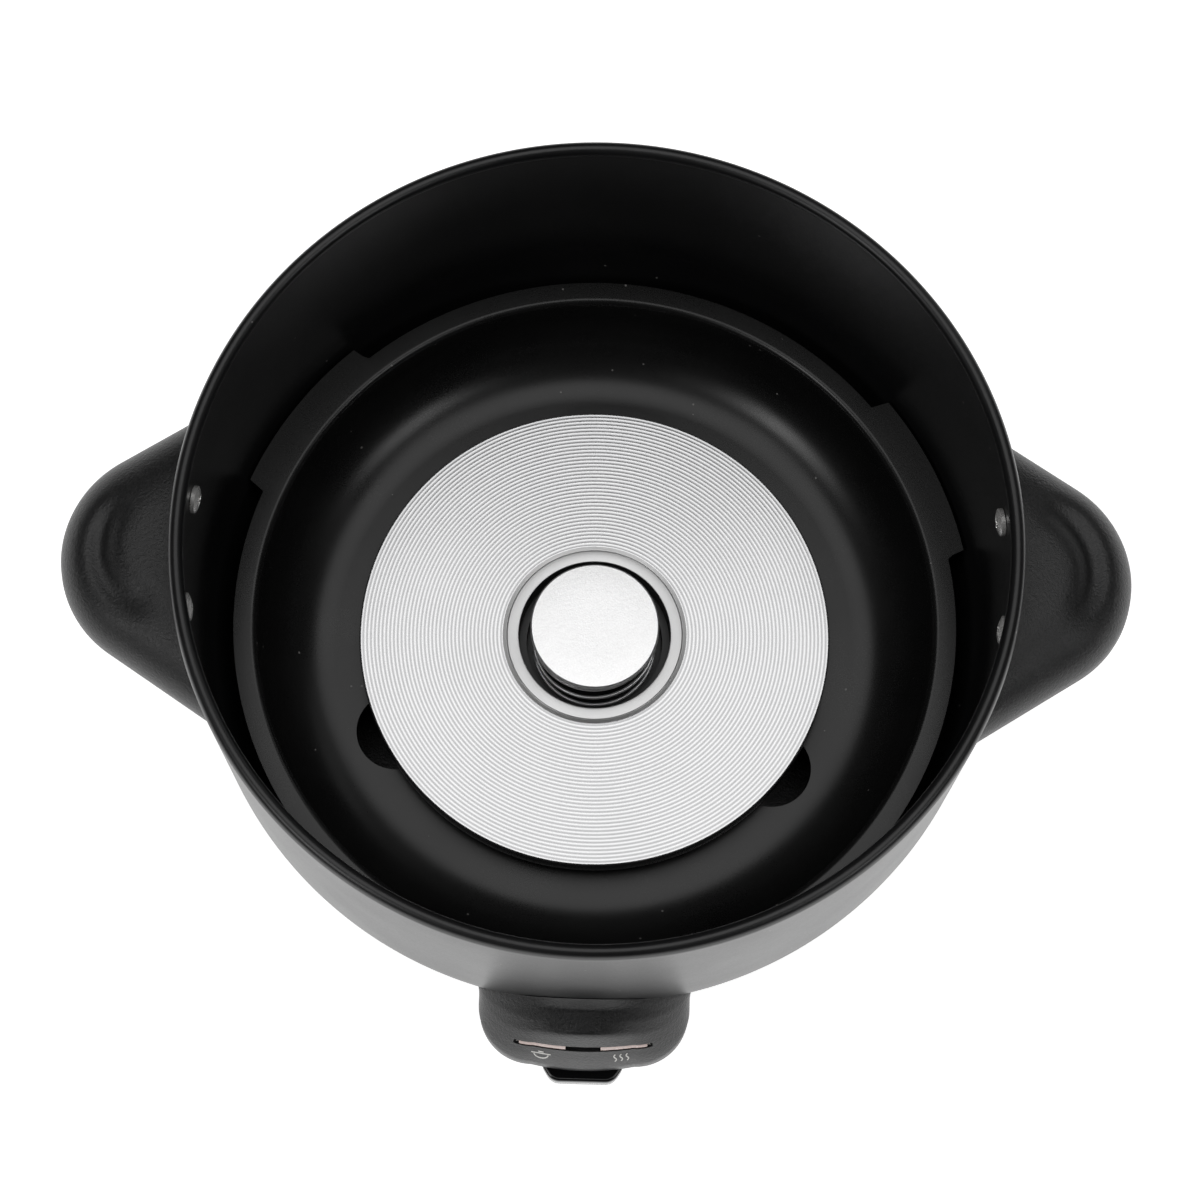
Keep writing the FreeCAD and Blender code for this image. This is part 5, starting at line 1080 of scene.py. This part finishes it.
def control_box():
    """Outer and inner surfaces with the same grid, joined at the drum, at the floor and round the slot."""
    outer, inner = box_surface(0.0), box_surface(BOX_WALL)
    rows, columns = outer.shape[:2]
    points = np.concatenate((outer, inner[::-1]))
    total = 2 * rows
    quads = grid_faces(total, columns, wrap_columns=False)
    index = np.arange(total * columns).reshape(total, columns)
    # The slot's quads go, on both surfaces, and four rows of quads line the opening.
    middle = points.reshape(-1, 3)[quads].mean(1)
    front = middle[:, 1] < -(BOX_FRONT - 8 * MM)
    hole = front & (np.abs(middle[:, 0]) < SLOT_X) & (middle[:, 2] > SLOT_Z[0]) & (middle[:, 2] < SLOT_Z[1])
    quads = quads[~hole]
    first = CHIN_ROWS + LOW_ROWS
    last = first + SLOT_ROWS
    flank = len(box_columns()[1]) + len(box_columns()[0]) - 1
    left, right = flank - SLOT_COLUMNS, flank + SLOT_COLUMNS
    mirror = total - 1 - np.arange(total)
    lining = []
    for k in range(first, last):
        for c in (left, right):
            lining.append((index[k, c], index[k + 1, c], index[mirror[k + 1], c], index[mirror[k], c]))
    for c in range(left, right):
        for k in (first, last):
            lining.append((index[k, c], index[k, c + 1], index[mirror[k], c + 1], index[mirror[k], c]))
    ends = []
    for k in range(rows - 1):
        for c in (0, columns - 1):
            ends.append((index[k, c], index[k + 1, c], index[mirror[k + 1], c], index[mirror[k], c]))
    faces = quads.tolist() + [tuple(int(v) for v in face) for face in lining + ends]
    add_piece("box_moulding", points, faces, "black_plastic", replaces=["control_box"], sharp=42)


control_box()

# %% [markdown]
# ## Windows, signs and key
#
# The windows and the printed signs lie on the box's own surface formula, so they follow it however it
# changes. The key in the slot is one plan outline, drawn in row by row from its sides to a shallow dish.

# %% Windows, signs and key


def on_box(x, share, lift=0.0):
    """Points of the box's top from their sideways place and share, lifted along the surface's normal."""
    x, share = np.broadcast_arrays(np.asarray(x, float), np.asarray(share, float))

    def spot(x, share):
        angle = np.arctan2(x, BOX_FRONT - BOX_POLE)
        for _ in range(8):
            out = box_outline(angle, 0.0)
            drum = np.minimum(seat_reach(angle, seat_radius(box_height(x, 1.0))), out)
            reach = out + (drum - out) * share
            angle = np.arcsin(np.clip(x / reach, -1, 1))
        return np.stack((x, -(BOX_POLE + reach * np.cos(angle)), box_height(x, share)), -1)

    base = spot(x, share)
    along, up = spot(x + 0.05 * MM, share) - base, spot(x, share + 0.003) - base
    normal = np.cross(along, up)
    normal /= np.linalg.norm(normal, axis=-1)[..., None]
    normal *= np.where(normal[..., 1:2] > 0, -1, 1)
    return base + normal * lift


def window(name, node, side):
    """A bar that follows the strip: its face lies just under the brow's surface, with rounded long edges."""
    x = side * np.linspace(5.2 * MM, 19.0 * MM, 40)[:, None]
    low, high = STRIP
    share = np.array([low + 0.004, low + 0.004, low + 0.012, high - 0.010, high - 0.002, high - 0.002])
    lift = np.array([-1.6, -0.32, -0.14, -0.14, -0.32, -1.6]) * MM
    points = on_box(x, share[None, :], 0.0)
    raised = on_box(x, share[None, :], 1.0)
    points = points + (raised - points) * lift[None, :, None]
    cap = points[[0, -1]]
    points = np.concatenate((np.repeat(cap[:1].mean(1, keepdims=True), len(share), 1), points,
                             np.repeat(cap[1:].mean(1, keepdims=True), len(share), 1)))
    add_piece(name, points, grid_faces(len(points), len(share), wrap_rows=False), "window_rose",
              replaces=[node], sharp=50)


window("window_bar_left", "cook_window", -1)
window("window_bar_right", "warm_window", 1)

MARK_WIDE = 0.34 * MM
MARK_LEVEL = 0.115  # share of the way to the drum
MARK_STEP = 0.042  # share for each unit of a sign's height


def marks():
    """Two printed signs on the front slope: a bowl under a rising wave, and three waves of warmth."""
    strokes = []
    bowl = np.linspace(math.pi, 2 * math.pi, 15)
    strokes.append(np.stack((2.1 * np.cos(bowl), 0.9 + 1.5 * np.sin(bowl) * 0.75), 1) + (-12.4, 0))
    strokes.append(np.array([(-15.3, 1.2), (-9.5, 1.2)]))
    strokes.append(np.array([(-13.2, 1.75), (-11.6, 1.75)]))
    wave = np.linspace(0, 1, 13)
    for x in (9.6, 11.4, 13.2):
        strokes.append(np.stack((x + 0.42 * np.sin(wave * 2 * math.pi), -0.3 + 2.1 * wave), 1))
    points, faces, start = [], [], 0
    for stroke in strokes:
        way = np.gradient(stroke, axis=0)
        way /= np.linalg.norm(way, axis=1)[:, None]
        aside = np.stack((-way[:, 1], way[:, 0]), 1) * (MARK_WIDE / MM / 2)
        flat = np.stack((stroke + aside, stroke - aside), 1)
        x, share = flat[..., 0] * MM, MARK_LEVEL + (flat[..., 1] - 0.8) * MARK_STEP
        top, under = on_box(x, share, 0.05 * MM), on_box(x, share, -0.15 * MM)
        ring = np.stack((top[:, 0], top[:, 1], under[:, 1], under[:, 0]), 1)
        count = len(stroke)
        faces += (grid_faces(count, 4, wrap_rows=False) + start).tolist()
        faces += [[start + k for k in (0, 1, 2, 3)], [start + 4 * (count - 1) + k for k in (3, 2, 1, 0)]]
        points.append(ring.reshape(-1, 3))
        start += 4 * count
    add_piece("box_marks", np.concatenate(points), faces, "white_plastic", weld=False, smooth=False)


marks()

KEY_LOW, KEY_HIGH = (corner.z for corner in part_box("lever_key"))
KEY_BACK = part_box("lever_key")[1].y
KEY_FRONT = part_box("lever_key")[0].y
KEY_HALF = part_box("lever_key")[1].x
KEY_FLAT = 9.3 * MM


def key():
    """Plan with soft shoulders, raised in rows: a rounded lower edge, the sides, a rim, a shallow dish."""
    shoulder = KEY_FRONT + 4.6 * MM
    plan = rounded([
        (-KEY_HALF, KEY_BACK, 0.5 * MM), (-KEY_HALF, shoulder, 5 * MM), (-KEY_FLAT, KEY_FRONT, 4.5 * MM),
        (KEY_FLAT, KEY_FRONT, 4.5 * MM), (KEY_HALF, shoulder, 5 * MM), (KEY_HALF, KEY_BACK, 0.5 * MM),
    ], 10)
    middle = np.array((0, (KEY_FRONT + KEY_BACK) / 2))
    edge = np.roll(plan, -1, 0) - np.roll(plan, 1, 0)
    normal = np.stack((edge[:, 1], -edge[:, 0]), 1)
    normal /= np.linalg.norm(normal, axis=1)[:, None]
    normal *= np.sign(np.sum(normal * (plan - middle), 1))[:, None]
    steps = [
        (0.8, KEY_LOW), (0.25, KEY_LOW + 0.2 * MM), (0, KEY_LOW + 0.8 * MM), (0, KEY_HIGH - 0.7 * MM),
        (0.2, KEY_HIGH - 0.2 * MM), (0.7, KEY_HIGH), (1.0, KEY_HIGH), (1.5, KEY_HIGH - 0.35 * MM),
    ]
    rows = []
    for inset, z in steps:
        rows.append(np.concatenate((plan - normal * inset * MM, np.full((len(plan), 1), z)), 1))
    points = np.stack(rows)
    faces = grid_faces(len(rows), len(plan), wrap_rows=False).tolist()
    faces += [list(range(len(plan))), [(len(rows) - 1) * len(plan) + k for k in range(len(plan))]]
    add_piece("key_moulding", points, faces, "gloss_black", body="lever", replaces=["lever_key"], sharp=50)


key()
